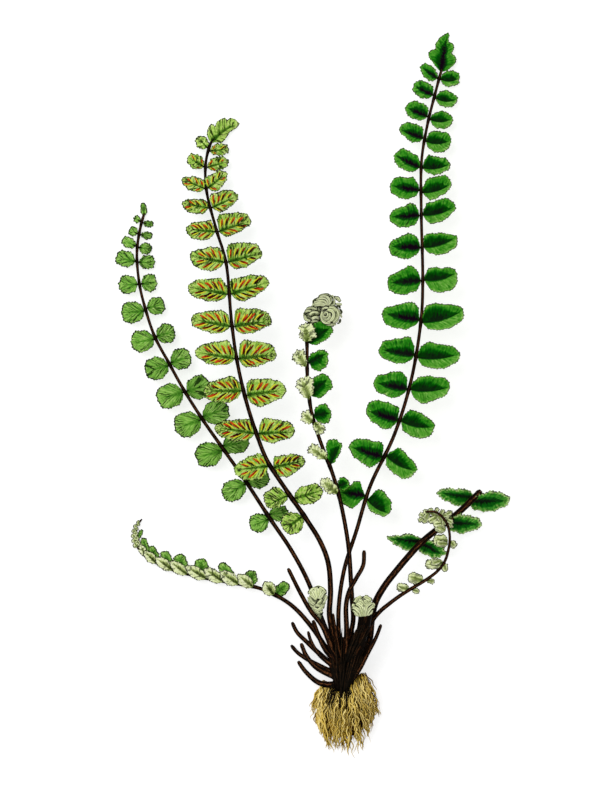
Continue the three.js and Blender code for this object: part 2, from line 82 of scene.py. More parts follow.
# Stalks and the short stalks of their pinnae
STALK_SIDES = 12
STALK_STEP = 0.5
STALK_TAPER = 1.5
STALK_TIP_SHARE = 0.6
NODE_SWELL = 0.07
NODE_REACH = 0.8
GROOVE = 0.14
GROOVE_WIDTH = 0.4
PINNA_STALK_RADII = (0.2, 0.19, 0.17, 0.1)
PINNA_STALK_LENGTH = 0.45
PINNA_STALK_DROP = -0.1

# Sori: a flap and a heap of sporangia each
LARGE_PINNA = 7.5
SORUS_SLANT = 0.12
SORUS_STATIONS = 12
SORUS_SIDES = 8
FLAP_RADIUS = 0.14
HEAP_RADIUS = 0.21
HEAP_STATIONS = 26

# Rolled-up tips
SIDE_LEAFLETS = 16
BALL_RINGS = 14
BALL_SIDES = 16
BALL_SHARE = 0.92
FOLD_SIDES = 14
FOLD_STEP = 0.18
FOLD_LIFT = 0.1
FOLD_LAYER = 0.01


# Curves

def unit(vector):
    vector = np.asarray(vector, float)
    return vector / np.linalg.norm(vector, axis=-1, keepdims=True)


def run_along(line):
    """The length of a line up to each of its places."""
    return np.concatenate([[0], np.cumsum(np.linalg.norm(np.diff(line, axis=0), axis=1))])


def along_curve(points, count=None, step=None):
    """Evenly spaced places on the smooth curve through the given points."""
    p = np.asarray(points, float)
    p = np.vstack([2 * p[0] - p[1], p, 2 * p[-1] - p[-2]])
    fine = []
    for a, b, c, d in zip(p, p[1:], p[2:], p[3:]):
        gaps = [max(math.dist(q, r), 1e-6) ** 0.5 for q, r in ((a, b), (b, c), (c, d))]
        t0, t1, t2, t3 = np.concatenate([[0], np.cumsum(gaps)])
        t = np.linspace(t1, t2, CURVE_STEPS + 1)[:-1, None]
        ab = (t1 - t) / (t1 - t0) * a + (t - t0) / (t1 - t0) * b
        bc = (t2 - t) / (t2 - t1) * b + (t - t1) / (t2 - t1) * c
        cd = (t3 - t) / (t3 - t2) * c + (t - t2) / (t3 - t2) * d
        abc = (t2 - t) / (t2 - t0) * ab + (t - t0) / (t2 - t0) * bc
        bcd = (t3 - t) / (t3 - t1) * bc + (t - t1) / (t3 - t1) * cd
        fine.append((t2 - t) / (t2 - t1) * abc + (t - t1) / (t2 - t1) * bcd)
    fine = np.vstack([*fine, p[-2:-1]])
    run = run_along(fine)
    if count is None:
        count = max(4, round(run[-1] / step) + 1)
    at = np.linspace(0, run[-1], count)
    return np.stack([np.interp(at, run, column) for column in fine.T], axis=1)


def nearest_place(line, x, y):
    """The place of a line that lies nearest above x, y."""
    return line[np.argmin(np.hypot(line[:, 0] - x, line[:, 1] - y))]


def smoothstep(low, high, value):
    t = np.clip((value - low) / (high - low), 0, 1)
    return t * t * (3 - 2 * t)


# Meshes. A part holds points, faces, the number of its finish, and per-point values for its look.

def part_of(points, faces, finish, smooth=True, **values):
    return {"points": points, "faces": faces, "finish": finish, "smooth": smooth, "values": values}


def make_piece(name, parts, finishes, replaces=()):
    """Joins parts into one object that rides on the plant's one body."""
    points = np.vstack([p["points"] for p in parts])
    starts = np.cumsum([0] + [len(p["points"]) for p in parts])
    corners, sizes, finish, smooth = [], [], [], []
    for part, start in zip(parts, starts):
        faces = np.asarray(part["faces"])
        keep = faces >= 0
        corners.append(faces[keep] + start)
        sizes.append(keep.sum(axis=1))
        finish.append(np.full(len(faces), part["finish"]))
        smooth.append(np.full(len(faces), part["smooth"]))
    corners, sizes = np.concatenate(corners), np.concatenate(sizes)
    mesh = bpy.data.meshes.new(name)
    mesh.vertices.add(len(points))
    mesh.vertices.foreach_set("co", ((points - PLANT_CENTRE) * MM).astype(np.float32).ravel())
    mesh.loops.add(len(corners))
    mesh.loops.foreach_set("vertex_index", corners.astype(np.int32))
    mesh.polygons.add(len(sizes))
    first = np.concatenate([[0], np.cumsum(sizes)[:-1]])
    mesh.polygons.foreach_set("loop_start", first.astype(np.int32))
    mesh.polygons.foreach_set("loop_total", sizes.astype(np.int32))
    mesh.polygons.foreach_set("material_index", np.concatenate(finish).astype(np.int32))
    mesh.polygons.foreach_set("use_smooth", np.concatenate(smooth))
    for key in ("blade", "place", "shade"):
        values = np.vstack([p["values"].get(key, np.zeros_like(p["points"])) for p in parts])
        layer = mesh.attributes.new(key, "FLOAT_VECTOR", "POINT")
        layer.data.foreach_set("vector", values.astype(np.float32).ravel())
    mesh.update(calc_edges=True)
    mesh.validate()
    for material in finishes:
        mesh.materials.append(material)
    piece = bpy.data.objects.new(name, mesh)
    bpy.context.scene.collection.objects.link(piece)
    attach(piece, "root")
    if replaces:
        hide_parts(*replaces)


def ring_faces(rings, sides):
    """Faces of a tube of rings, closed by a fan at each end. The two end points come last."""
    ring, side = np.meshgrid(np.arange(rings - 1), np.arange(sides), indexing="ij")
    here = (ring * sides + side).ravel()
    beside = (ring * sides + (side + 1) % sides).ravel()
    walls = np.stack([here, beside, beside + sides, here + sides], axis=1)
    turn = np.arange(sides)
    after = (turn + 1) % sides
    none = np.full(sides, -1)
    last = (rings - 1) * sides
    low = np.stack([np.full(sides, rings * sides), after, turn, none], axis=1)
    high = np.stack([np.full(sides, rings * sides + 1), last + turn, last + after, none], axis=1)
    return np.vstack([walls, low, high])


def tube(line, radius, sides=STALK_SIDES, finish=0, up=UP, flat=1.0, shape=1.0, seed=0.0, near=0.0,
         bumps=None):
    """A closed tube along a line. flat is its height over its width, shape the share of the radius
    at each side, and near a number for each place of the line that its finish may use."""
    line = np.asarray(line, float)
    forward = unit(np.gradient(line, axis=0))
    across = unit(np.cross(forward, up))
    rise = np.cross(across, forward)
    angle = np.arange(sides) * 2 * math.pi / sides
    size = np.broadcast_to(radius, len(line))[:, None] * np.broadcast_to(shape, sides)[None]
    if bumps is not None:
        size = size * bumps
    outward = across[:, None] * np.cos(angle)[None, :, None]
    outward = outward + rise[:, None] * (np.sin(angle) * flat)[None, :, None]
    walls = line[:, None] + outward * size[..., None]
    points = np.vstack([walls.reshape(-1, 3), line[:1], line[-1:]])

    def values(*columns):
        table = np.stack(np.broadcast_arrays(*columns), axis=-1)
        return np.vstack([table.reshape(-1, 3), table[0, :1], table[-1, :1]])

    run = run_along(line)[:, None]
    blade = values(run, np.cos(angle), np.sin(angle))
    place = values(np.broadcast_to(near, len(line))[:, None], run / run[-1], seed + 0 * angle)
    return part_of(points, ring_faces(len(line), sides), finish, blade=blade, place=place)


# Half outlines of a leaf: how far along it the half is broadest, the share of that breadth left at
# its blunt tip, how long it stays broad before it narrows and, where given, how slender its foot is
OVAL = (0.46, 0.55, 2.0)
HIGH = (0.28, 0.42, 1.1)
SHOULDER = (0.34, 0.76, 1.2)
SQUARE = (0.36, 0.92, 2.4)
AURICLE = (0.14, 0.62, 1.6)
BELLY = (0.50, 0.66, 2.0)
FULL = (0.42, 0.76, 1.8)
ROUND = (0.50, 0.62, 2.6)
LOW = (0.32, 0.42, 1.3)
WEDGE = (0.7, 0.78, 2.0, 1.0)
LENS = (0.48, 0.3, 1.8, 0.75)
OUTLINE_STATIONS = 14
TIP_CROWDING = 2.2
TIP_BLUNTNESS = 8
FOOT_ROUNDNESS = 0.55


def half_outline(length, breadth, form):
    """Places along a half outline, from the foot to the tip."""
    peak, end, stay, *roundness = form
    turn = np.linspace(0, 1, OUTLINE_STATIONS)
    before = peak * (turn * 2) ** 2
    past = peak + (1 - peak) * (1 - (1 - (turn - 0.5) * 2) ** TIP_CROWDING)
    s = np.where(turn < 0.5, before, past)
    roundness = roundness[0] if roundness else FOOT_ROUNDNESS
    rise = (1 - (1 - np.minimum(s / peak, 1)) ** 2) ** roundness
    beyond = np.maximum((s - peak) / (1 - peak), 0)
    fall = (1 - (1 - end) * beyond ** stay) * np.sqrt(np.maximum(1 - beyond ** TIP_BLUNTNESS, 0))
    share = rise * fall
    share[0] = min(FOOT_HALF_WIDTH / breadth, 0.4)
    return np.stack([s * length, share * breadth], axis=1)


def traced_halves(foot, tip, tip_side, root_side, bend=0.0):
    """Half outlines through given places, seen from the line between a leaf's foot and its tip."""
    foot, tip = np.array(foot[:2]), np.array(tip[:2])
    length = math.dist(foot, tip)
    along = (tip - foot) / length
    across = np.array([-along[1], along[0]]) * (1 if along[0] >= 0 else -1)
    halves = []
    for sign, side in ((1, tip_side), (-1, root_side)):
        local = (np.array(side) - foot) @ np.stack([along, across], axis=1)
        share = local[:, 0] / length
        local[:, 1] = (local[:, 1] - bend * 4 * share * (1 - share)) * sign
        halves.append(np.vstack([[0, FOOT_HALF_WIDTH], local, [length, 0]]))
    return halves


def margin_line(outline, teeth, stations, depth, rng):
    """A half outline drawn smooth, with uneven rounded teeth and sharp notches between them."""
    line = along_curve(outline, count=stations)
    run = np.linspace(0, 1, stations)
    outward = unit(np.stack([-np.gradient(line[:, 1]), np.gradient(line[:, 0])], axis=1))
    height = rng.uniform(*TOOTH_HEIGHTS, teeth + 1)[(run * teeth).astype(int)]
    scallop = height * np.abs(np.sin(math.pi * teeth * run)) ** 0.8 - 0.45
    sway = 0.35 * np.sin(run * rng.uniform(13, 19) + rng.uniform(0, 6))
    sway = sway + 0.3 * np.sin(run * 29 + rng.uniform(0, 6))
    fade = smoothstep(0.02, 0.2, run) * smoothstep(0, 0.02, 1 - run)
    return line + outward * (depth * (scallop + sway) * fade)[:, None]


class Blade:
    """A leaf blade with a midrib, veins that run out to its teeth, and a little thickness. Of its
    two halves, the first lies toward the frond's tip. A half is a breadth with a form, or places."""

    def __init__(self, foot, tip, tip_half, root_half, rng, lean=0.0, fold=0.12, curl=0.14, droop=0.25,
                 arch=0.0, bulge=0.05, depth=0.2, lag=1.6, rows=BLADE_ROWS, bend=0.0, sag=0.0, up=UP,
                 asym=0.4, shade=(0.4, 0.4, 0.5), pitch=TOOTH_PITCH):
        self.foot = np.asarray(foot, float)
        self.length = math.dist(tip, foot)
        self.along = (np.asarray(tip, float) - self.foot) / self.length
        left = unit(np.cross(up, self.along))
        self.side = 1 if left[1] > 0 else -1
        angle = math.radians(lean) * self.side
        left = left * math.cos(angle) + np.cross(self.along, left) * math.sin(angle)
        self.across = left * self.side
        self.normal = np.cross(self.along, left)
        halves = [half if isinstance(half, np.ndarray) else half_outline(self.length, *half)
                  for half in (tip_half, root_half)]
        reach = max(run_along(half)[-1] for half in halves)
        breadth = max(half[:, 1].max() for half in halves)
        self.teeth = max(LEAST_TEETH, round(reach / pitch))
        self.rows = rows
        self.count = self.teeth * STATIONS_PER_TOOTH + 1
        self.seed = rng.uniform(0, 1)
        self.asym = asym
        self.shade = np.array(shade) * rng.uniform(*SHADE_SPREAD)
        run = np.linspace(0, 1, self.count)
        reached = MIDRIB_REACH * run ** lag
        mid = np.stack([self.length * reached, -sag * 4 * reached * (1 - reached)], axis=1)
        share = (np.arange(rows + 1) / rows) ** ROW_SPREAD
        phase = rng.uniform(0, 2 * math.pi, 3)
        inner = smoothstep(0, 0.25, run) * smoothstep(0, 0.12, 1 - run)
        veins = np.abs(np.sin(math.pi * self.teeth / 2 * run)) * inner
        self.grids = {}
        for sign, half in zip((1, -1), halves):
            line = margin_line(half, self.teeth, self.count, depth, rng) * (1, sign)
            line[-1] = (self.length, 0)
            flat = mid[:, None] + (line - mid)[:, None] * share[None, :, None]
            x, y = flat[..., 0], flat[..., 1]
            away = np.abs(y - mid[:, None, 1])
            s, out = x / self.length, away / breadth
            z = (fold - curl * out ** 2) * away + arch * 4 * s * (1 - s) - droop * s ** 2
            z = z + bulge * veins[:, None] * (share * (1 - share) * 4)[None]
            ripple = np.sin(9 * run + phase[0]) + 0.7 * np.sin(17 * run + phase[sign])
            z = z + RIPPLE * (ripple * inner)[:, None] * (share ** 2)[None]
            y = y + bend * s * (1 - s) * 4
            world = self.foot + x[..., None] * self.along + y[..., None] * self.across
            world = world + z[..., None] * self.normal
            edge = np.linalg.norm(flat - line[:, None], axis=2)
            look = np.stack(np.broadcast_arrays(s, share[None] * sign, run[:, None] * self.teeth), axis=2)
            self.grids[sign] = (world, look, edge)

    def at(self, sign, run, share):
        """The place on the upper face at a share of the way from the midrib to the margin."""
        world = self.grids[sign][0]
        i, j = run * (self.count - 1), self.rows * share ** (1 / ROW_SPREAD)
        i0, j0 = min(int(i), self.count - 2), min(int(j), self.rows - 1)
        a, b = i - i0, j - j0
        near = world[i0, j0] * (1 - b) + world[i0, j0 + 1] * b
        far = world[i0 + 1, j0] * (1 - b) + world[i0 + 1, j0 + 1] * b
        return near * (1 - a) + far * a + self.normal * BLADE_THICKNESS / 2

    def parts(self):
        """The upper face, the face below it and the rim between them."""
        rows, count = self.rows, self.count
        middle, look, edge = (
            np.concatenate([b[:, :0:-1], a], axis=1) for a, b in zip(self.grids[1], self.grids[-1])
        )
        width = 2 * rows + 1
        share = np.abs(np.arange(-rows, rows + 1)) / rows
        thick = BLADE_THICKNESS + (BLADE_EDGE_THICKNESS - BLADE_THICKNESS) * share
        lift = self.normal * thick[None, :, None] / 2
        index = np.arange(count * width).reshape(count, width)
        index[-1] = np.maximum(index[-1], index[-1, ::-1])
        corners = [index[:-1, :-1], index[1:, :-1], index[1:, 1:], index[:-1, 1:]]
        quads = np.stack(corners, axis=-1).reshape(-1, 4)
        loop = np.concatenate([index[:, -1], index[-2::-1, 0], index[0, 1:-1]])
        total = count * width
        rim = np.stack([loop, loop + total, np.roll(loop, -1) + total, np.roll(loop, -1)], axis=1)
        if self.side < 0:
            quads, rim = quads[:, ::-1], rim[:, ::-1]
        upper, lower = (middle + lift).reshape(-1, 3), (middle - lift).reshape(-1, 3)
        lower[:, 2] = np.maximum(lower[:, 2], CLEAR_OF_FLOOR)
        upper[:, 2] = np.maximum(upper[:, 2], CLEAR_OF_FLOOR + BLADE_EDGE_THICKNESS)
        place = np.stack(np.broadcast_arrays(edge, self.seed, self.asym), axis=-1).reshape(-1, 3)
        shade = np.broadcast_to(self.shade, place.shape)
        values = {"blade": look.reshape(-1, 3), "place": place, "shade": shade}
        both = {key: np.vstack([value, value]) for key, value in values.items()}
        return [
            part_of(upper, quads, UPPER_FINISH, **values),
            part_of(lower, quads[:, ::-1], LOWER_FINISH, **values),
            part_of(np.vstack([upper, lower]), rim, UPPER_FINISH, smooth=False, **both),
        ]


# Materials

def srgb(red, green, blue):
    """A screen colour, 0 to 255, as linear light with full cover."""
    shares = [value / 255 for value in (red, green, blue)]
    return (*[c / 12.92 if c <= 0.04045 else ((c + 0.055) / 1.055) ** 2.4 for c in shares], 1.0)


def stops(*rows):
    """Stops of a colour ramp, each given as its position and its screen colour."""
    return [(position, srgb(*colour)) for position, *colour in rows]


def feed(tree, value, socket):
    """Gives an input its value: another node's output or a plain number or colour."""
    if isinstance(value, Signal):
        tree.links.new(value.socket, socket)
    else:
        socket.default_value = value


class Signal:
    """One value of a material's node tree. Arithmetic on it adds the nodes that work it out."""

    def __init__(self, tree, socket):
        self.tree, self.socket = tree, socket

    def math(self, operation, *others, first=None):
        node = self.tree.nodes.new("ShaderNodeMath")
        node.operation = operation
        values = (self, *others) if first is None else (first, self)
        for value, socket in zip(values, node.inputs):
            feed(self.tree, value, socket)
        return Signal(self.tree, node.outputs[0])

    def __add__(self, other):
        return self.math("ADD", other)

    def __sub__(self, other):
        return self.math("SUBTRACT", other)

    def __mul__(self, other):
        return self.math("MULTIPLY", other)

    def __rsub__(self, other):
        return self.math("SUBTRACT", first=other)

    def __abs__(self):
        return self.math("ABSOLUTE")

    __radd__ = __add__
    __rmul__ = __mul__

    def over(self, low, high):
        """0 up to low, 1 from high, and smooth between them."""
        node = self.tree.nodes.new("ShaderNodeMapRange")
        node.interpolation_type = "SMOOTHSTEP"
        for value, name in ((self, "Value"), (low, "From Min"), (high, "From Max")):
            feed(self.tree, value, node.inputs[name])
        return Signal(self.tree, node.outputs["Result"])

    def ramp(self, rows):
        """The colour that a ramp has at this value."""
        node = self.tree.nodes.new("ShaderNodeValToRGB")
        elements = node.color_ramp.elements
        while len(elements) < len(rows):
            elements.new(0.5)
        for element, (position, colour) in zip(elements, rows):
            element.position = position
            element.color = colour
        feed(self.tree, self, node.inputs["Fac"])
        return Signal(self.tree, node.outputs["Color"])

    def mix(self, zero, one):
        """The colour zero where this is 0, and the colour one where it is 1."""
        node = self.tree.nodes.new("ShaderNodeMix")
        node.data_type = "RGBA"
        for value, socket in ((self, node.inputs[0]), (zero, node.inputs[6]), (one, node.inputs[7])):
            feed(self.tree, value, socket)
        return Signal(self.tree, node.outputs[2])


def attribute(tree, name):
    """The three numbers of a mesh's own attribute."""
    node = tree.nodes.new("ShaderNodeAttribute")
    node.attribute_name = name
    split = tree.nodes.new("ShaderNodeSeparateXYZ")
    tree.links.new(node.outputs["Vector"], split.inputs[0])
    return [Signal(tree, socket) for socket in split.outputs]


def noise(x, y, z, detail=2.0, roughness=0.5):
    """Noise of about one lump a unit in the space of the three values."""
    tree = next(v.tree for v in (x, y, z) if isinstance(v, Signal))
    join = tree.nodes.new("ShaderNodeCombineXYZ")
    for value, socket in zip((x, y, z), join.inputs):
        feed(tree, value, socket)
    node = tree.nodes.new("ShaderNodeTexNoise")
    node.inputs["Scale"].default_value = 1.0
    node.inputs["Detail"].default_value = detail
    node.inputs["Roughness"].default_value = roughness
    tree.links.new(join.outputs[0], node.inputs["Vector"])
    return Signal(tree, node.outputs[0])


def new_material(name, paint, roughness=(0.5, 0.62), specular=0.02, bump=0.06, glow=0.0):
    """A material whose paint(tree) gives its colour and the height of its surface, 0 to 1."""
    material = bpy.data.materials.new(name)
    material.use_nodes = True
    tree = material.node_tree
    shader = tree.nodes["Principled BSDF"]
    shader.inputs["Specular IOR Level"].default_value = specular
    shader.inputs["Emission Color"].default_value = (1, 1, 1, 1)
    shader.inputs["Emission Strength"].default_value = glow
    colour, height = paint(tree)
    tree.links.new(colour.socket, shader.inputs["Base Color"])
    low, high = roughness
    tree.links.new((height * (high - low) + low).socket, shader.inputs["Roughness"])
    relief = tree.nodes.new("ShaderNodeBump")
    relief.inputs["Distance"].default_value = bump * MM
    relief.inputs["Strength"].default_value = 1.0
    tree.links.new(height.socket, relief.inputs["Height"])
    tree.links.new(relief.outputs[0], shader.inputs["Normal"])
    return material


def leaf_paint(tones, margin, core, base, wedge, veins, streaks, hatch, hatch_pitch, hatch_cover,
               margin_width, margin_cover, mottle=0.3, painted_rim_light=0.2, rim_width=(0.15, 0.7),
               painted_side_light=0.16, foot_dark=0.1, zigzag=0.0, rib_dark=0.7, rolled=False):
    """Leaf colour: a painted highlight toward the margin, painted shade beside the midrib and a painted
    lighter root half, streaked along the veins, with fine hatching and a broken dark margin. The shade
    values of a blade say how far the painted shade reaches toward each margin and how black it is. A tone
    runs from 0, lightest, to 1, darkest."""
    def paint(tree):
        s, w, v = attribute(tree, "blade")
        edge, seed, asym = attribute(tree, "place")
        tip_reach, root_reach, blackness = attribute(tree, "shade")
        out = abs(w)
        tip_side = w.math("GREATER_THAN", 0.0)
        root_side = 1 - tip_side
        # Painted shade: near is 1 in a dark wedge beside the midrib, reaching toward each margin as far
        # as the shade values say, and it darkens the tone below.
        reach = (tip_side * tip_reach + root_side * root_reach) * (1 - s.over(0.5, 1.05))
        rough = noise(v * 1.2, out * 1.2, seed * 40, detail=3) - 0.5
        near = (out + rough * RAGGED * (reach + 0.1)).over(reach * 0.72, reach * 1.12 + 0.02)
        near = 1 - near
        spot = noise(s * 6, w * 4, seed * 30, detail=3, roughness=0.6) - 0.5
        patch = noise(s * 4.5, w * 2.2, seed * 90 + 2, detail=1).over(0.36, 0.62)
        wander = v + spot * 1.6
        streak = noise(wander * 1.9, out * 1.8, seed * 50 + 7, detail=3, roughness=0.6)
        streak = (streak - 0.5) * (patch + 0.35)
        vein = 1 - abs(v.math("FRACT") - 0.5).over(0.04, 0.17)
        tone = base + near * wedge + streak * streaks * (1 - near * 0.6) + spot * mottle + vein * veins
        # Painted highlight: the tone is lighter near the margin, within rim_width of it.
        tone = tone + (1 - s.over(0.0, 0.3)) * foot_dark - (1 - edge.over(*rim_width)) * painted_rim_light
        # Painted light: the half toward the roots is lighter, the more so the larger asym.
        colour = (tone - root_side * asym * painted_side_light).ramp(tones)
        ink = noise(v * 1.6, w * 1.4, seed * 20 + 11, detail=3, roughness=0.65) - 0.5
        middle = abs(w - asym * 0.13)
        # Painted shade: a near-black core along the midrib inside the dark wedge, as black as the shade
        # values say.
        painted_midrib_shade = near * (1 - (middle + ink * 0.8).over(0.1, 0.3)) * (1 - (s + ink * 0.8).over(0.5, 0.8))
        painted_midrib_shade = painted_midrib_shade * (s + ink * 0.4).over(asym * 0.1 - 0.05, asym * 0.3)
        bent = w + (v * 0.5).math("PINGPONG", 0.5) * zigzag - zigzag * 0.25 + rough * 0.1
        rib = 1 - abs(bent).over(0.03, 0.09)
        rib = rib * (1 - (s + rough * 0.2).over(0.75, 0.95)) * rib_dark
        if rolled:
            stroke = noise(w * hatch_pitch + spot * 0.8, v * 0.3, seed * 70 + 5, detail=2, roughness=0.6)
        else:
            stroke = noise(wander * hatch_pitch, out * 1.1, seed * 70 + 5, detail=2, roughness=0.6)
        stroke = stroke.over(hatch_cover, hatch_cover + 0.07) * (1 - asym * 0.6) * hatch
        dark = (painted_midrib_shade * blackness).math("MAXIMUM", rib).math("MAXIMUM", stroke)
        colour = dark.mix(colour, core)
        broken = noise(v * 1.6, w * 3, seed * 60 + 3, detail=1)
        broken = broken.over(margin_cover - 0.12, margin_cover + 0.02)
        line = (1 - edge.over(margin_width * 0.5, margin_width)) * (1 - broken * 0.85)
        colour = line.mix(colour, margin)
        height = 0.5 + streak * 0.35 - vein * 0.3 - rib * 0.5 + spot * 0.2
        return colour, height
    return paint


def upper_green():
    tones = stops((0.0, 156, 194, 110), (0.15, 112, 168, 70), (0.32, 72, 144, 38), (0.5, 28, 114, 12),
                  (0.7, 0, 82, 2), (0.86, 0, 54, 0), (1.0, 0, 26, 2))
    paint = leaf_paint(tones, srgb(34, 38, 8), srgb(12, 0, 12), base=0.46, wedge=0.36, veins=0.03,
                       streaks=1.0, hatch=0.7, hatch_pitch=1.6, hatch_cover=0.57, margin_width=0.26,
                       margin_cover=0.64)
    return new_material("upper_green", paint)


def slanted_green():
    tones = stops((0.0, 176, 206, 132), (0.2, 120, 172, 76), (0.4, 52, 134, 34), (0.6, 10, 104, 12),
                  (0.8, 0, 72, 4), (1.0, 0, 30, 2))
    paint = leaf_paint(tones, srgb(6, 22, 2), srgb(4, 10, 4), base=0.44, wedge=0.34, veins=0.0,
                       streaks=1.3, painted_rim_light=0.5, rim_width=(0.12, 0.75), hatch=0.75, hatch_pitch=1.3,
                       hatch_cover=0.55, margin_width=0.3, margin_cover=0.56)
    return new_material("slanted_green", paint)


def under_green():
    tones = stops((0.0, 208, 222, 144), (0.3, 166, 198, 92), (0.5, 118, 166, 52), (0.7, 66, 122, 24),
                  (0.85, 32, 80, 10), (1.0, 14, 40, 4))
    paint = leaf_paint(tones, srgb(20, 24, 4), srgb(10, 24, 2), base=0.36, wedge=0.26, veins=0.05,
                       streaks=1.1, mottle=0.8, painted_rim_light=0.12, hatch=1.0, hatch_pitch=2.0,
                       hatch_cover=0.505, margin_width=0.32, margin_cover=0.6, zigzag=0.2)
    return new_material("under_green", paint, roughness=(0.55, 0.7))


def round_green():
    tones = stops((0.0, 172, 208, 116), (0.25, 130, 178, 76), (0.5, 86, 146, 42), (0.75, 40, 102, 16),
                  (1.0, 12, 50, 4))
    paint = leaf_paint(tones, srgb(10, 20, 4), srgb(10, 40, 4), base=0.3, wedge=0.2, veins=0.12,
                       streaks=1.3, mottle=0.4, painted_rim_light=0.12, painted_side_light=0.06, foot_dark=0.14,
                       rib_dark=0.25, hatch=1.0, hatch_pitch=2.5, hatch_cover=0.52, margin_width=0.38,
                       margin_cover=0.65)
    return new_material("round_green", paint)


def pale_green(name="pale_green", **changes):
    tones = stops((0.0, 232, 236, 200), (0.3, 204, 214, 156), (0.55, 160, 176, 102), (0.8, 94, 116, 40),
                  (1.0, 30, 44, 6))
    look = {"base": 0.23, "wedge": 0.3, "veins": 0.1, "streaks": 0.8, "mottle": 0.4, "painted_rim_light": 0.08,
            "foot_dark": 0.3, "hatch": 0.85, "hatch_pitch": 1.8, "hatch_cover": 0.56,
            "margin_width": 0.26, "margin_cover": 0.64}
    paint = leaf_paint(tones, srgb(14, 20, 2), srgb(36, 48, 8), **{**look, **changes})
    return new_material(name, paint, roughness=(0.55, 0.7))


def stipe_paint(dark, warm, light, gain=1.0):
    """Wiry stalk colour: near black, with a painted highlight as a broken warm streak down its upper
    side, and fine grain.
    """
    def paint(tree):
        run, across, rise = attribute(tree, "blade")
        near, _, seed = attribute(tree, "place")
        grain = noise(run * 0.5, across * 3.2, rise * 3.2 + seed * 30, detail=4, roughness=0.62)
        fine = noise(run * 2.6, across * 9, rise * 9 + seed * 50, detail=3)
        streak = abs(across + (grain - 0.5) * 2.6 + 0.1)
        # Painted highlight: a broken warm streak along the upper side, fading where near is high.
        painted_highlight = (1 - streak.over(0.03, 0.28)) * rise.over(-0.1, 0.5) * gain
        painted_highlight = painted_highlight * (1 - near * 0.9) * fine.over(0.38, 0.6)
        edge = abs(across).over(0.6, 0.9) * grain.over(0.47, 0.67) * 0.5 * gain * (1 - near)
        colour = edge.mix(painted_highlight.mix(dark, light), warm)
        return colour, grain * 0.6 + fine * 0.4
    return paint


def stipe_brown():
    paint = stipe_paint(srgb(10, 6, 4), srgb(100, 50, 22), srgb(128, 78, 44))
    return new_material("stipe_brown", paint, roughness=(0.4, 0.6), specular=0.01, bump=0.05)


def scale_black():
    paint = stipe_paint(srgb(13, 11, 8), srgb(96, 50, 22), srgb(128, 84, 48), gain=0.66)
    return new_material("scale_black", paint, roughness=(0.5, 0.7), specular=0.01, bump=0.05)


def root_tan():
    tones = stops((0.0, 240, 222, 152), (0.22, 222, 194, 94), (0.42, 194, 160, 50), (0.6, 150, 110, 26),
                  (0.78, 84, 46, 10), (1.0, 30, 14, 4))

    def paint(tree):
        run, across, rise = attribute(tree, "blade")
        near, _, seed = attribute(tree, "place")
        grain = noise(run * 1.6, across * 2.5, rise * 2.5 + seed * 40, detail=3, roughness=0.6)
        dash = noise(run * 0.9, seed * 60, 0.0, detail=2)
        # Painted shade: each root is darker down its right side, away from light from the upper left, a
        # little darker down its left side, and darker the higher its near, which is its depth in the
        # mass.
        side = (across * -1).over(0.0, 0.75) * dash.over(0.3, 0.5) + across.over(0.5, 1.0) * 0.4
        tone = seed * 0.3 + (grain - 0.5) * 0.9 + near * 0.5 + side * 0.9 - 0.05
        return tone.ramp(tones), grain
    return new_material("root_tan", paint, roughness=(0.7, 0.85), specular=0.02, bump=0.05)


def indusium_yellow():
    tones = stops((0.3, 160, 152, 24), (0.48, 210, 202, 26), (0.75, 230, 226, 90))

    def paint(tree):
        run, across, rise = attribute(tree, "blade")
        seed = attribute(tree, "place")[2]
        grain = noise(run * 3, across * 3, rise * 3 + seed * 40, detail=3)
        return grain.ramp(tones), grain
    return new_material("indusium_yellow", paint, roughness=(0.5, 0.65))


def sporangia_red():
    tones = stops((0.3, 26, 8, 4), (0.44, 96, 20, 8), (0.55, 178, 40, 10), (0.75, 208, 84, 30))

    def paint(tree):
        run, across, rise = attribute(tree, "blade")
        _, share, seed = attribute(tree, "place")
        grain = noise(run * 2.2, across * 3, rise * 3 + seed * 40, detail=2)
        tone = grain + (share - 0.5) * 0.4 + (seed.over(0.3, 0.5) - 0.76) * 0.24
        return tone.ramp(tones), grain
    return new_material("sporangia_red", paint, roughness=(0.45, 0.6), bump=0.1)


def floor_white():
    def paint(tree):
        node = tree.nodes.new("ShaderNodeTexCoord")
        split = tree.nodes.new("ShaderNodeSeparateXYZ")
        tree.links.new(node.outputs["Object"], split.inputs[0])
        x, y = (Signal(tree, socket) for socket in split.outputs[:2])
        grain = noise(x * FLOOR_GRAIN, y * FLOOR_GRAIN, 0.0, detail=4)
        return grain.ramp([(0.2, (0.39, 0.39, 0.39, 1)), (0.8, (0.43, 0.43, 0.43, 1))]), grain
    return new_material("floor_white", paint, roughness=(0.8, 0.9), specular=0.1, bump=0.02,
                        glow=FLOOR_GLOW)


UPPER_GREEN = upper_green()
SLANTED_GREEN = slanted_green()
UNDER_GREEN = under_green()
ROUND_GREEN = round_green()
PALE_GREEN = pale_green()
ROLLED_GREEN = pale_green("rolled_green", rolled=True, rib_dark=0.2, veins=0.0, base=0.32,
                          hatch_pitch=3.6, hatch_cover=0.5, foot_dark=0.1)
SHADED_PALE = pale_green("shaded_pale", base=0.26, wedge=0.34, rib_dark=0.45, hatch=1.0, hatch_pitch=1.3,
                         hatch_cover=0.53, mottle=0.6)
STIPE_BROWN = stipe_brown()
SCALE_BLACK = scale_black()
ROOT_TAN = root_tan()
INDUSIUM_YELLOW = indusium_yellow()
SPORANGIA_RED = sporangia_red()


# Fronds. A stalk is listed from its tip to its foot as x, y, z. A pinna is listed as foot x,
# foot y, tip x, tip y, its breadth toward the frond's tip, its breadth toward the roots and, where
# they are given, the outlines of these two halves.

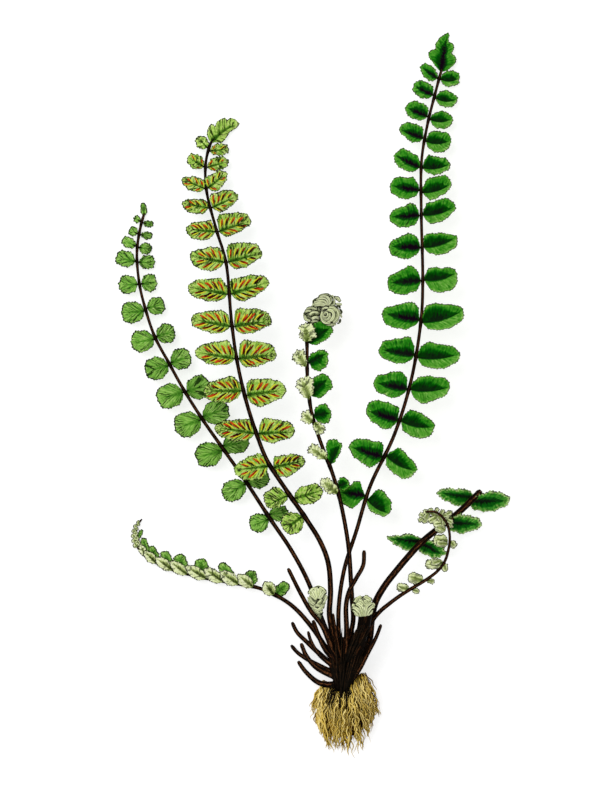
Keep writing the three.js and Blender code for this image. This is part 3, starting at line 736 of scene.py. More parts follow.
TALL_STALK = [
    [28.4, 66.4, 1.3], [27.0, 61.2, 2.6], [25.5, 55.2, 3.9], [24.3, 48.0, 5.2], [24.2, 38.0, 6.6],
    [24.5, 24.0, 7.8], [24.2, 16.4, 8.0], [22.2, 4.0, 7.8], [18.8, -7.0, 7.2], [14.0, -17.2, 6.3],
    [11.3, -26.0, 5.6], [8.8, -34.0, 5.0], [7.7, -42.0, 4.9], [7.9, -49.5, 5.0],
]
TALL_RIGHT = [
    (27.8, 64.2, 32.0, 64.4, 1.6, 1.6, FULL, FULL),
    (26.8, 60.4, 31.5, 60.1, 1.8, 1.7, (0.42, 0.4, 1.3), BELLY),
    (25.7, 56.0, 30.5, 56.2, 1.7, 2.0, (0.46, 0.45, 1.5), BELLY),
    (24.9, 51.6, 30.2, 51.8, 2.1, 2.3, SHOULDER, FULL), (24.3, 46.4, 30.1, 47.2, 2.3, 1.7, HIGH, OVAL),
    (24.2, 41.4, 30.3, 43.2, 2.4, 2.0, FULL, LOW), (24.3, 36.6, 31.0, 38.6, 2.2, 2.4, SQUARE, LOW),
    (24.4, 30.4, 31.4, 32.6, 2.4, 2.5, (0.22, 0.25, 1.2), BELLY),
    (24.5, 24.0, 31.4, 25.4, 2.2, 3.3, (0.27, 0.5, 1.0), BELLY),
    (24.2, 15.6, 32.6, 17.8, 3.2, 2.6, HIGH, BELLY), (23.1, 8.2, 32.0, 9.2, 2.9, 2.6, HIGH, OVAL),
    (21.9, 2.2, 30.0, 2.6, 2.5, 3.0, SHOULDER, LOW),
    (19.8, -4.2, 26.9, -5.4, 2.7, 2.8, (0.35, 0.42, 0.9), BELLY),
    (16.8, -11.2, 23.2, -14.2, 2.6, 2.6, HIGH, (0.58, 0.6, 2.2)),
    (13.2, -19.6, 17.9, -22.7, 3.2, 1.6, (0.28, 0.5, 1.6), OVAL),
]
TALL_LEFT = [
    (27.7, 64.2, 24.2, 66.8, 1.3, 1.5, (0.6, 0.75, 2.0), (0.42, 0.4, 1.5)),
    (26.8, 60.8, 22.6, 63.0, 1.8, 1.6, OVAL, OVAL), (25.7, 56.4, 21.1, 58.6, 2.1, 1.6, SHOULDER, OVAL),
    (24.9, 52.0, 19.8, 54.2, 2.2, 1.5, SHOULDER, LOW), (24.3, 46.4, 18.9, 49.0, 2.0, 1.9, SQUARE, OVAL),
    (24.2, 41.6, 18.0, 42.9, 2.3, 2.2, SHOULDER, FULL),
    (24.2, 36.6, 17.8, 36.6, 2.6, 2.3, (0.22, 0.4, 1.1), OVAL),
    (24.3, 30.4, 17.7, 30.8, 2.8, 2.4, (0.35, 0.28, 1.2), BELLY),
    (24.4, 24.0, 17.4, 23.4, 3.1, 2.6, HIGH, BELLY),
    (24.2, 15.8, 16.4, 17.4, 3.4, 2.5, (0.3, 0.38, 0.8), BELLY),
    (23.2, 8.8, 15.8, 10.2, 3.4, 2.2, (0.22, 0.5, 1.0), FULL),
    (22.0, 2.2, 14.7, 3.6, 3.3, 2.3, HIGH, OVAL),
    (19.7, -4.2, 13.1, -2.0, 2.8, 2.5, (0.14, 0.95, 1.0), LOW),
    (16.6, -11.4, 9.8, -9.2, 2.8, 2.7, (0.15, 0.7, 1.0), LOW),
]
# Leaves with traced outlines: foot, tip, and the places along their two margins
TALL_END = (
    (28.2, 65.6, 1.5), (29.6, 73.6, 0.35),
    [(27.2, 66.6), (26.0, 68.2), (25.7, 69.4), (26.2, 70.0), (27.0, 70.2), (27.0, 71.2), (27.6, 72.0),
     (28.0, 72.6), (28.8, 73.1)],
    [(29.2, 65.8), (30.2, 66.4), (31.0, 67.4), (31.2, 68.6), (30.4, 69.4), (30.8, 70.2), (30.6, 71.2),
     (29.8, 71.8), (29.9, 73.0)],
)
TALL_NOTCHED = (
    (13.0, -19.2, 6.1), (7.6, -18.4, 5.2),
    [(12.4, -17.6), (11.8, -16.2), (10.8, -16.2), (10.2, -16.9), (9.2, -16.8), (8.0, -17.4)],
    [(12.0, -20.4), (10.4, -21.6), (8.9, -21.0), (7.8, -19.6)],
)
FERTILE_STALK = [
    [-16.2, 54.0, 1.0], [-17.8, 51.4, 1.7], [-18.8, 47.6, 2.8], [-18.7, 42.0, 4.4], [-16.7, 34.0, 6.0],
    [-14.8, 27.6, 7.2], [-13.7, 16.0, 8.6], [-12.6, 8.0, 9.0], [-10.8, 0.0, 9.0], [-8.8, -6.4, 8.8],
    [-6.6, -12.0, 8.5], [-3.0, -17.6, 8.0], [1.4, -24.0, 7.4], [4.0, -28.2, 7.0], [5.6, -32.4, 6.7],
    [6.1, -38.0, 6.4], [5.9, -43.0, 6.2], [7.2, -50.0, 5.6],
]
# The last number of these is how many sori a half of the pinna bears
FERTILE_RIGHT = [
    (-18.2, 49.8, -14.1, 50.2, 1.3, 1.1, OVAL, OVAL, 2),
    (-18.8, 46.6, -14.2, 47.7, 1.5, 1.2, OVAL, OVAL, 2),
    (-18.5, 42.0, -14.6, 45.4, 1.9, 1.7, AURICLE, LOW, 3),
    (-18.1, 38.4, -12.3, 40.8, 2.6, 1.6, AURICLE, LOW, 4),
    (-16.5, 33.4, -9.7, 35.8, 3.1, 1.6, AURICLE, LOW, 4),
    (-14.5, 27.6, -7.5, 29.4, 3.4, 2.0, AURICLE, LOW, 4),
    (-13.9, 21.2, -6.2, 23.6, 2.8, 2.2, AURICLE, LOW, 5),
    (-13.4, 14.6, -5.6, 15.8, 3.4, 1.9, AURICLE, LOW, 5),
    (-12.5, 8.2, -4.6, 9.0, 3.5, 2.0, AURICLE, LOW, 5),
    (-10.8, 1.1, -2.7, 2.0, 3.1, 2.6, AURICLE, LOW, 5),
    (-8.4, -6.8, -0.9, -6.4, 3.0, 2.0, AURICLE, LOW, 5),
    (-5.8, -13.4, 1.0, -12.0, 2.1, 2.5, AURICLE, LOW, 4),
    (-1.8, -19.8, 4.6, -18.0, 1.9, 2.0, FULL, OVAL, 0),
]
FERTILE_LEFT = [
    (-18.2, 50.0, -20.6, 52.6, 1.2, 1.3, OVAL, OVAL, 0),
    (-18.9, 46.4, -22.5, 48.6, 1.5, 1.4, OVAL, OVAL, 2),
    (-18.7, 42.0, -23.6, 44.2, 1.7, 1.5, HIGH, OVAL, 3),
    (-18.0, 38.2, -23.6, 39.4, 1.6, 1.7, HIGH, OVAL, 3),
    (-16.6, 33.4, -22.8, 34.2, 2.2, 2.0, HIGH, OVAL, 4),
    (-14.8, 27.6, -22.0, 28.8, 2.8, 2.3, HIGH, OVAL, 4),
    (-14.1, 21.2, -22.4, 22.6, 2.9, 2.1, HIGH, OVAL, 5),
    (-13.6, 14.4, -21.8, 16.2, 2.9, 2.0, HIGH, OVAL, 5),
    (-12.7, 8.0, -21.0, 9.6, 3.3, 1.9, HIGH, OVAL, 5), (-11.3, 1.6, -19.3, 1.8, 3.0, 2.4, HIGH, OVAL, 5),
    (-8.6, -6.8, -17.1, -5.4, 2.6, 2.1, HIGH, OVAL, 4),
    (-6.0, -13.4, -13.1, -14.0, 2.8, 2.5, HIGH, OVAL, 4),
    (-2.3, -19.2, -6.8, -21.2, 2.8, 1.2, FULL, OVAL, 0),
    (0.8, -23.2, -3.2, -26.0, 2.4, 2.1, ROUND, ROUND, 0),
]
FERTILE_END = (
    (-17.8, 51.4, 1.7), (-12.0, 55.4, 0.35),
    [(-18.4, 52.4), (-18.6, 53.8), (-18.0, 55.0), (-17.4, 55.1), (-17.0, 54.8), (-16.6, 55.6),
     (-15.8, 56.2), (-15.0, 56.5), (-14.4, 56.0), (-13.8, 56.4), (-12.8, 56.2)],
    [(-17.0, 51.5), (-15.8, 51.5), (-14.8, 52.2), (-14.2, 53.4), (-13.6, 53.8), (-12.4, 54.6)],
)
ROUND_STALK = [
    [-31.1, 37.4, 0.7], [-31.8, 35.0, 1.0], [-32.6, 29.6, 1.5], [-32.1, 23.2, 2.2], [-30.9, 18.2, 2.7],
    [-29.0, 12.6, 3.2], [-26.2, 7.4, 3.5], [-23.2, 2.0, 3.6], [-19.4, -4.0, 3.6], [-15.2, -10.0, 3.5],
    [-11.0, -16.0, 3.4], [-6.2, -23.4, 3.2], [-2.0, -29.6, 3.0], [1.0, -35.0, 2.7], [2.7, -39.0, 2.7],
    [4.3, -43.6, 2.7], [7.6, -51.4, 3.7],
]
ROUND_RIGHT = [
    (-31.4, 35.4, -29.3, 35.0, 0.7, 0.7), (-32.0, 32.8, -29.5, 32.8, 0.8, 0.8),
    (-32.5, 30.8, -29.6, 30.0, 1.2, 1.1), (-32.6, 27.6, -29.0, 27.4, 1.5, 1.3),
    (-32.1, 23.2, -28.6, 23.6, 1.8, 1.8), (-30.8, 18.2, -27.0, 19.2, 1.8, 1.8),
    (-28.9, 12.6, -25.0, 13.8, 2.0, 2.0), (-26.3, 7.4, -21.8, 8.8, 2.2, 2.1),
    (-23.0, 1.8, -18.0, 3.2, 2.4, 2.4), (-19.6, -3.4, -14.2, -1.6, 2.4, 2.4),
    (-15.8, -9.2, -10.2, -8.4, 2.2, 2.0), (-11.0, -16.0, -6.2, -15.0, 2.2, 2.2),
    (-6.2, -22.8, -2.3, -22.4, 1.5, 1.7),
]
ROUND_LEFT = [
    (-31.5, 35.4, -33.2, 36.6, 0.7, 0.8), (-32.1, 32.8, -34.2, 34.2, 1.0, 1.0),
    (-32.5, 30.6, -35.6, 32.2, 1.1, 1.1), (-32.6, 27.6, -36.9, 28.6, 1.7, 1.5),
    (-32.2, 23.0, -36.3, 23.0, 1.9, 1.9), (-31.0, 18.0, -35.8, 17.4, 2.1, 2.3),
    (-28.8, 12.4, -33.8, 11.4, 2.2, 2.2), (-26.1, 6.8, -31.0, 5.8, 2.3, 2.3),
    (-23.1, 1.8, -28.6, 0.0, 2.5, 2.4), (-19.4, -4.0, -25.0, -5.8, 2.6, 2.5),
    (-15.2, -10.2, -20.9, -11.6, 2.4, 2.5), (-10.6, -16.6, -15.3, -19.4, 2.2, 2.0),
    (-6.2, -23.6, -10.0, -25.4, 2.0, 1.8),
]
UNROLLING_STALK = [
    [2.2, 16.6, 6.6], [1.3, 13.6, 6.7], [1.4, 11.0, 6.8], [1.5, 4.4, 7.0], [2.4, -3.0, 7.3],
    [4.4, -9.2, 7.6], [6.6, -15.0, 7.8], [8.0, -20.0, 7.8], [9.2, -26.0, 7.6], [9.8, -30.4, 7.3],
    [10.1, -35.0, 7.0], [10.4, -40.0, 6.7], [10.6, -44.2, 6.3], [9.3, -49.4, 5.4],
]
UNROLLING_GREEN = [
    (2.2, 11.3, 6.3, 14.6, 2.7, 1.5, FULL, FULL), (1.5, 7.2, 5.4, 9.4, 1.4, 2.6, FULL, (0.3, 0.6, 1.6)),
    (2.2, 1.0, 5.8, 4.5, 2.0, 2.0, SQUARE, SQUARE), (2.4, -3.2, 6.2, -2.6, 2.1, 1.9, ROUND, ROUND),
    (6.2, -13.2, 8.2, -8.5, 2.6, 0.7, (0.8, 0.8, 2.2, 1.1), FULL),
    (7.2, -17.2, 9.8, -16.4, 1.5, 1.2, FULL, FULL),
]
# The last number of these is how far the pinna stands above the stalk
UNROLLING_PALE = [
    (1.8, 11.2, 0.9, 15.3, 2.0, 1.3, SQUARE, FULL, 0.8),
    (1.6, 6.0, -0.8, 9.7, 1.4, 1.4, WEDGE, WEDGE, 0.3),
    (2.4, -0.2, 0.2, 4.4, 2.1, 1.4, WEDGE, WEDGE, 0.8),
    (2.8, -4.6, 0.5, -2.6, 1.2, 1.2, WEDGE, FULL, 0.4), (2.9, -4.0, 4.6, -6.7, 1.1, 1.0, FULL, FULL, 0.9),
    (5.2, -12.2, 1.7, -9.3, 1.4, 0.9, FULL, WEDGE, 0.3),
    (7.4, -18.8, 4.2, -15.9, 1.3, 1.2, FULL, FULL, 0.4),
]
ARCHING_STALK = [
    [-31.6, -23.8, 0.4], [-32.8, -25.4, 0.4], [-33.1, -27.2, 0.5], [-32.6, -29.2, 0.6],
    [-31.4, -30.8, 0.7], [-27.0, -33.4, 0.9], [-20.0, -35.4, 1.2], [-12.0, -36.8, 1.6],
    [-7.6, -37.8, 1.8], [-2.0, -40.8, 2.3], [2.2, -45.2, 2.8], [7.4, -53.0, 3.5],
]
ARCHING_PALE = [
    (-5.2, -38.8, -7.2, -36.4, 1.4, 1.4), (-9.4, -37.4, -12.5, -34.9, 1.2, 1.3),
    (-12.6, -36.8, -16.0, -34.3, 1.3, 1.4), (-15.6, -36.2, -19.2, -33.7, 1.2, 1.4),
    (-19.0, -35.6, -22.9, -33.2, 1.2, 1.3), (-22.6, -34.8, -26.0, -32.3, 1.1, 1.2),
    (-25.6, -33.8, -29.0, -31.5, 1.1, 1.1), (-28.8, -32.6, -31.2, -30.2, 1.0, 1.0),
    (-30.8, -31.2, -32.0, -28.8, 0.8, 0.8),
]
ARCHING_GREEN = [
    (-4.8, -39.0, -2.4, -36.6, 1.2, 1.3), (-9.6, -37.2, -10.0, -34.0, 1.3, 1.3),
    (-13.2, -36.6, -16.0, -32.6, 1.2, 1.2), (-19.4, -35.5, -20.0, -31.7, 1.5, 1.5),
    (-23.2, -34.6, -24.4, -30.8, 1.4, 1.3), (-25.6, -33.8, -27.4, -30.2, 1.1, 1.1),
    (-28.6, -32.6, -30.0, -29.2, 1.0, 1.0), (-30.4, -31.6, -31.4, -27.5, 0.8, 0.8),
    (-32.5, -28.1, -31.5, -25.9, 0.5, 0.5),
]
ARCHING_BEADS = 11
BROKEN_STALK = [
    [36.2, -18.1, 4.1], [32.0, -22.2, 4.4], [27.2, -26.0, 4.7], [24.0, -28.7, 4.8], [19.0, -34.4, 4.7],
    [16.6, -37.6, 4.4], [15.0, -40.6, 3.9], [14.3, -44.0, 3.4], [13.6, -48.6, 3.1], [9.6, -53.6, 4.0],
]
# The number after the breadths is how far the tip stands above the foot
BROKEN_PINNAE = [
    (34.6, -19.6, 27.4, -18.5, 2.0, 2.9, -3.0, (0.2, 0.5, 1.1), (0.5, 0.3, 1.4)),
    (34.0, -20.0, 42.0, -20.2, 2.6, 3.0, -2.2, (0.6, 0.4, 1.5), (0.5, 0.4, 1.5)),
    (29.0, -24.6, 36.4, -24.9, 2.4, 2.7, -1.2, (0.5, 0.4, 1.5), (0.5, 0.35, 1.5)),
    (24.6, -28.2, 17.4, -27.7, 1.7, 2.9, -2.0, (0.4, 0.2, 1.3), (0.45, 0.2, 1.3)),
    (23.8, -28.4, 28.8, -31.2, 2.4, 2.4, -2.2, (0.5, 0.5, 1.5), (0.4, 0.5, 1.5)),
]
NODDING_STALK = [
    [25.0, -22.3, 8.4], [27.2, -22.4, 8.7], [28.6, -23.6, 8.7], [29.5, -25.2, 8.5], [29.9, -27.4, 8.2],
    [29.6, -30.0, 7.9], [28.9, -32.2, 7.5], [27.6, -34.0, 7.1], [25.6, -35.6, 6.7], [20.4, -38.8, 5.9],
    [17.8, -40.7, 5.5], [15.9, -42.3, 5.2], [14.5, -44.0, 5.0], [12.8, -47.4, 4.8], [9.4, -54.6, 4.7],
]
LEFT_FIDDLE_STALK = [
    [3.3, -40.0, 5.5], [3.4, -41.6, 5.1], [4.1, -43.8, 4.6], [5.6, -47.6, 4.4], [7.6, -50.8, 4.6],
]
RIGHT_FIDDLE_STALK = [
    [13.0, -42.0, 8.3], [12.9, -44.0, 7.9], [12.3, -46.8, 7.3], [11.2, -50.4, 6.8], [9.6, -52.6, 6.0],
]
# The radius at the tip and at the foot, and the course from tip to foot
OLD_STIPES = [
    (0.4, 0.62, [[-2.4, -33.6, 6.4], [0.0, -38.4, 6.9], [2.2, -42.2, 7.1], [4.4, -45.0, 7.1],
                 [6.6, -50.2, 7.1], [7.6, -52.2, 6.3]]),
    (0.42, 0.68, [[2.6, -44.0, 5.6], [3.6, -46.8, 5.9], [5.2, -50.0, 6.1], [7.8, -52.8, 5.6]]),
    (0.4, 0.66, [[-1.6, -44.4, 2.4], [-0.6, -46.4, 2.6], [1.4, -48.4, 2.8], [4.0, -50.8, 3.4],
                 [7.6, -54.0, 4.7]]),
    (0.32, 0.62, [[1.6, -46.2, 4.4], [2.2, -48.2, 4.6], [3.8, -50.8, 5.2], [7.6, -53.8, 5.7]]),
    (0.38, 0.66, [[-1.8, -49.0, 1.2], [-0.6, -50.4, 1.3], [1.4, -51.8, 1.7], [4.0, -53.2, 2.5],
                 [8.0, -55.2, 4.2]]),
    (0.42, 0.68, [[0.2, -48.6, 3.0], [1.2, -51.0, 3.1], [3.2, -53.4, 3.5], [7.6, -55.6, 5.0]]),
    (0.42, 0.74, [[-0.4, -52.2, 1.6], [1.2, -54.4, 1.7], [4.0, -56.6, 2.5], [8.4, -56.8, 4.6]]),
    (0.36, 0.62, [[16.2, -44.8, 6.4], [15.1, -47.6, 6.4], [13.5, -50.6, 6.2], [11.9, -53.6, 5.8],
                 [10.2, -56.0, 5.0]]),
    (0.42, 0.6, [[12.8, -30.0, 8.6], [12.6, -33.0, 8.8], [11.2, -35.6, 9.0], [9.8, -38.2, 9.1],
                 [9.2, -41.0, 8.9], [9.3, -46.0, 8.3], [9.1, -52.0, 6.4]]),
    (0.25, 0.5, [[6.6, -42.6, 7.9], [7.1, -46.0, 7.9], [8.2, -51.6, 6.6]]),
]


# Curled tips. A ball is listed as its centre and its half sizes, and a fold on it as its half width
# and the places that it runs through from above
UNROLLING_BALLS = [
    (4.8, 19.3, 6.5, 2.0, 1.6, 1.6), (6.0, 17.1, 6.6, 2.3, 2.3, 2.1), (2.5, 16.9, 6.4, 1.5, 1.5, 1.5),
]
UNROLLING_FOLDS = [
    (0.30, [(5.7, 18.8), (6.2, 19.6), (6.1, 20.6), (5.3, 21.1), (4.1, 20.9)]),
    (0.28, [(5.6, 18.8), (5.9, 19.7), (5.5, 20.5), (4.7, 20.75), (3.8, 20.4)]),
    (0.28, [(5.5, 18.8), (5.5, 19.6), (5.0, 20.15), (4.2, 20.2), (3.3, 19.95)]),
    (0.28, [(5.3, 18.9), (5.2, 19.4), (4.6, 19.8), (3.8, 19.75), (2.9, 19.5)]),
    (0.28, [(5.1, 18.9), (4.8, 19.2), (4.1, 19.35), (3.3, 19.25), (2.6, 19.0)]),
    (0.26, [(4.9, 18.8), (4.3, 18.95), (3.6, 18.9), (2.9, 18.8), (2.3, 18.7)]),
    (0.26, [(6.4, 20.9), (6.8, 20.1), (6.8, 19.3), (6.2, 18.8)]),
    (0.42, [(6.9, 20.5), (7.5, 20.3), (8.0, 19.7)]), (0.30, [(7.1, 19.2), (7.7, 19.1), (8.3, 19.1)]),
    (0.44, [(5.8, 18.4), (6.8, 18.2), (7.4, 17.5), (7.4, 16.5), (6.6, 15.6)]),
    (0.40, [(5.5, 18.0), (6.4, 17.7), (6.7, 17.0), (6.4, 16.2), (5.5, 15.7)]),
    (0.28, [(4.5, 18.15), (5.1, 18.4), (5.7, 18.35)]),
    (0.40, [(4.5, 17.7), (4.3, 16.8), (4.5, 15.9), (5.3, 15.4), (6.1, 15.5)]),
    (0.30, [(4.75, 16.7), (5.0, 16.1), (5.6, 16.1), (6.0, 16.7), (5.9, 17.4)]),
    (0.22, [(4.6, 17.4), (4.7, 16.75), (5.25, 16.6), (5.55, 17.0), (5.35, 17.5), (4.95, 17.45),
                 (5.05, 17.05)]),
    (0.20, [(7.5, 18.1), (7.8, 17.8), (8.0, 17.5)]), (0.20, [(7.7, 17.2), (8.1, 17.0), (8.3, 16.5)]),
    (0.26, [(6.6, 15.4), (7.3, 15.7), (7.6, 16.1)]), (0.26, [(5.5, 15.0), (6.4, 15.1), (7.1, 15.1)]),
    (0.32, [(1.3, 18.2), (2.2, 18.4), (3.5, 18.1)]), (0.30, [(1.1, 17.6), (1.7, 17.8), (2.3, 17.7)]),
    (0.5, [(1.9, 17.0), (2.8, 17.4), (3.8, 17.2)]), (0.42, [(2.4, 16.2), (3.0, 16.5), (3.8, 16.3)]),
    (0.34, [(1.0, 16.9), (1.1, 16.3), (1.6, 15.9), (2.1, 15.8)]),
    (0.28, [(2.2, 15.5), (2.9, 15.8), (3.8, 15.6)]),
]
# The coil of the nodding tip: its soft cores, and its leaflets as middle, size, the way they point
# in degrees, and height
NODDING_BALLS = [
    (25.3, -23.3, 7.6, 0.8, 0.7, 0.6), (26.5, -23.7, 7.7, 0.9, 0.7, 0.6),
    (27.7, -24.5, 7.7, 0.9, 0.9, 0.6), (29.2, -23.3, 7.5, 0.7, 0.7, 0.5),
]
NODDING_FRILLS = [
    (24.1, -23.9, 0.62, 215, 7.8), (24.4, -23.0, 0.72, 160, 8.0), (25.2, -22.5, 0.76, 130, 8.1),
    (26.1, -22.2, 0.7, 95, 8.1), (27.3, -22.0, 0.6, 70, 8.1), (24.9, -24.2, 0.6, 200, 8.0),
    (25.3, -23.4, 0.9, 250, 8.4), (27.0, -23.1, 0.85, 330, 8.3), (26.4, -23.9, 0.95, 210, 8.5),
    (28.0, -23.8, 0.8, 300, 8.4), (27.4, -24.7, 0.9, 185, 8.6), (28.0, -25.6, 1.15, 160, 8.5),
    (28.7, -24.6, 0.6, 270, 8.3), (28.4, -22.4, 0.64, 60, 8.1), (29.1, -23.0, 0.68, 15, 8.0),
    (29.8, -22.6, 0.7, 20, 7.9), (30.0, -24.3, 0.72, 330, 7.9), (30.1, -25.1, 0.56, 300, 7.8),
]
# Folded pinnae: foot, tip, half breadth and how far they stand above the stalk
NODDING_PINNAE = [
    (29.5, -28.2, 26.6, -27.9, 1.27, -0.3), (29.5, -28.7, 27.1, -28.7, 0.74, 0.3),
    (29.9, -28.2, 31.1, -29.4, 0.8, -0.4), (28.6, -32.5, 25.0, -32.9, 1.14, -0.3),
    (28.1, -32.1, 26.1, -32.7, 0.67, 0.3), (28.6, -32.5, 29.1, -34.3, 0.74, -0.4),
    (24.6, -36.2, 21.6, -35.2, 1.21, -0.3), (25.3, -36.0, 26.9, -36.3, 0.6, -0.4),
    (21.9, -38.0, 19.3, -37.1, 0.96, -0.3), (22.4, -37.8, 23.8, -38.4, 0.6, -0.4),
]
LEFT_BALLS = [(3.45, -39.1, 5.8, 1.75, 1.7, 1.5), (3.6, -41.3, 5.4, 1.0, 1.8, 1.0)]
LEFT_FOLDS = [
    (0.46, [(2.1, -38.9), (2.7, -39.3), (3.2, -39.9)]), (0.5, [(2.5, -38.1), (2.9, -38.8), (3.3, -39.7)]),
    (0.5, [(3.2, -37.6), (3.4, -38.6), (3.5, -39.6)]), (0.5, [(4.0, -37.7), (3.9, -38.6), (3.6, -39.6)]),
    (0.48, [(4.7, -38.3), (4.3, -38.9), (3.8, -39.7)]),
    (0.48, [(1.8, -39.3), (2.1, -40.1), (2.9, -40.8)]),
    (0.48, [(5.1, -38.9), (4.9, -39.8), (4.2, -40.6)]),
    (0.42, [(4.4, -39.7), (4.1, -40.3), (3.6, -40.7)]),
    (0.42, [(1.9, -40.4), (2.4, -41.0), (3.1, -41.4)]),
    (0.42, [(4.9, -40.4), (4.4, -41.0), (3.7, -41.3)]), (0.4, [(2.5, -41.7), (3.2, -41.9), (3.8, -42.2)]),
    (0.36, [(4.5, -41.3), (4.1, -41.7), (3.6, -41.9)]),
    (0.36, [(2.8, -42.4), (3.4, -42.4), (3.9, -42.7)]), (0.34, [(4.3, -42.0), (4.1, -42.5)]),
    (0.34, [(3.1, -43.0), (3.6, -43.0), (4.0, -43.3)]), (0.3, [(3.5, -43.6), (3.9, -43.5), (4.3, -43.7)]),
    (0.26, [(3.7, -44.0), (4.2, -43.9)]), (0.38, [(1.9, -38.6), (2.4, -38.0), (3.0, -37.6)]),
    (0.38, [(3.9, -37.5), (4.6, -38.0), (5.0, -38.6)]), (0.3, [(3.1, -40.9), (3.6, -41.1), (4.0, -41.0)]),
]
RIGHT_BALLS = [(12.6, -41.15, 8.4, 2.05, 2.0, 1.7)]
RIGHT_FOLDS = [
    (0.42, [(12.6, -43.1), (12.5, -41.9), (12.1, -41.2), (11.3, -40.6)]),
    (0.4, [(12.9, -43.0), (13.0, -41.8), (13.4, -41.0), (14.2, -40.4)]),
    (0.42, [(12.3, -43.1), (11.8, -42.1), (11.2, -41.6), (10.7, -41.4)]),
    (0.42, [(13.2, -43.0), (13.6, -42.1), (14.1, -41.5), (14.6, -41.2)]),
    (0.38, [(12.0, -43.1), (11.4, -42.5), (10.8, -42.0)]),
    (0.38, [(13.3, -43.0), (13.9, -42.5), (14.4, -41.9)]),
    (0.44, [(11.0, -40.4), (11.5, -39.7), (12.2, -39.3)]),
    (0.4, [(12.8, -39.3), (13.6, -39.6), (14.1, -40.2)]),
    (0.46, [(11.6, -40.3), (12.2, -40.3), (12.7, -41.0)]),
    (0.44, [(12.7, -40.1), (13.2, -40.4), (13.0, -41.2)]), (0.36, [(12.1, -39.8), (12.1, -40.1)]),
    (0.42, [(13.1, -39.9), (13.8, -40.2)]), (0.4, [(12.7, -41.2), (12.7, -42.0)]),
    (0.34, [(11.8, -43.0), (11.3, -42.8), (11.0, -42.4)]),
    (0.34, [(13.4, -42.9), (13.8, -42.8), (14.2, -42.4)]), (0.4, [(10.8, -40.7), (10.7, -41.2)]),
    (0.36, [(14.4, -40.5), (14.7, -41.0)]), (0.36, [(12.3, -43.2), (13.0, -43.2)]),
]


# The crown and the roots
CROWN_FOOT = (8.3, -58.6, 4.2)
CROWN_CORE = [(8.3, -58.0, 4.0), (8.4, -55.2, 4.4), (8.8, -51.6, 5.0), (9.6, -47.6, 5.2)]
CROWN_RINGS = 16
CROWN_SIDES = 20
SCALE_STATIONS = 6
SCALE_STEP = 0.6
SCALE_SIDES = 7
SCALE_UNEVENNESS = 0.07
LOWEST_SCALE = 0.4
ROOT_TUFTS = 300
ROOT_STRANDS = 3
ROOT_PLACES = 41
ROOT_STATIONS = 13
ROOT_SIDES = 6
ROOT_RADII = (0.11, 0.2)
LOWEST_ROOT = 0.3
CORE_RINGS = 18
CORE_SIDES = 24
# Where the roots start and end, from the left edge of the root mass to its right edge
ROOT_STARTS = [(4.6, -55.8), (6.0, -56.6), (8.4, -57.0), (11.0, -55.2), (12.8, -54.4)]
ROOT_ENDS = [(3.4, -66.0), (5.6, -70.2), (8.4, -71.6), (12.6, -70.8), (15.2, -64.4)]
# The middle of the root mass, drawn dark as painted shade deep in the tangle, as x, y, z and radius
ROOT_CORE = [
    (8.6, -56.0, 3.0, 1.2), (8.6, -60.0, 2.6, 3.8), (8.9, -64.0, 2.0, 4.2), (9.2, -67.0, 1.3, 2.6),
]


def scale_fan(rng, count, foot, tip, half, thick, near=(0.2, 1.0), width=(0.18, 0.36)):
    """Narrow dark scales in a fan from foot to tip. half and thick give its half width and height
    there, near and width how dark and how broad its scales are."""
    foot, tip = np.array(foot), np.array(tip)
    along = unit((tip - foot)[:2])
    parts = []
    for _ in range(count):
        rise = rng.uniform(0.3, 1.0) ** 0.8
        side, level = rng.uniform(-1, 1), rng.uniform(-1, 1)
        share = np.linspace(rng.uniform(0, 0.4) * rise, rise, SCALE_STATIONS)
        line = foot + (tip - foot) * share[:, None]
        reach = side * (half[0] + (half[1] - half[0]) * share ** 0.8)
        line[:, 0] += along[1] * reach
        line[:, 1] -= along[0] * reach + (share * 2.0 * side ** 2)
        height = thick[0] + (thick[1] - thick[0]) * share
        line[:, 2] += level * height * math.sqrt(1 - 0.9 * side * side)
        line += rng.normal(0, SCALE_UNEVENNESS, (SCALE_STATIONS, 3))
        line[:, 2] = np.maximum(line[:, 2], LOWEST_SCALE)
        line = along_curve(line, step=SCALE_STEP)
        run = np.linspace(0, 1, len(line))
        radius = rng.uniform(*width) * (1 - run ** 2.5 * 0.85) * smoothstep(-0.3, 0.12, run)
        depth = share[0] + (share[-1] - share[0]) * run
        dark = np.maximum(max(rng.uniform(*near), 1 - 1.4 * abs(side)), 1.15 - 1.4 * depth)
        parts.append(tube(line, radius, sides=SCALE_SIDES, flat=0.6, seed=rng.uniform(0, 1), near=dark))
    return parts


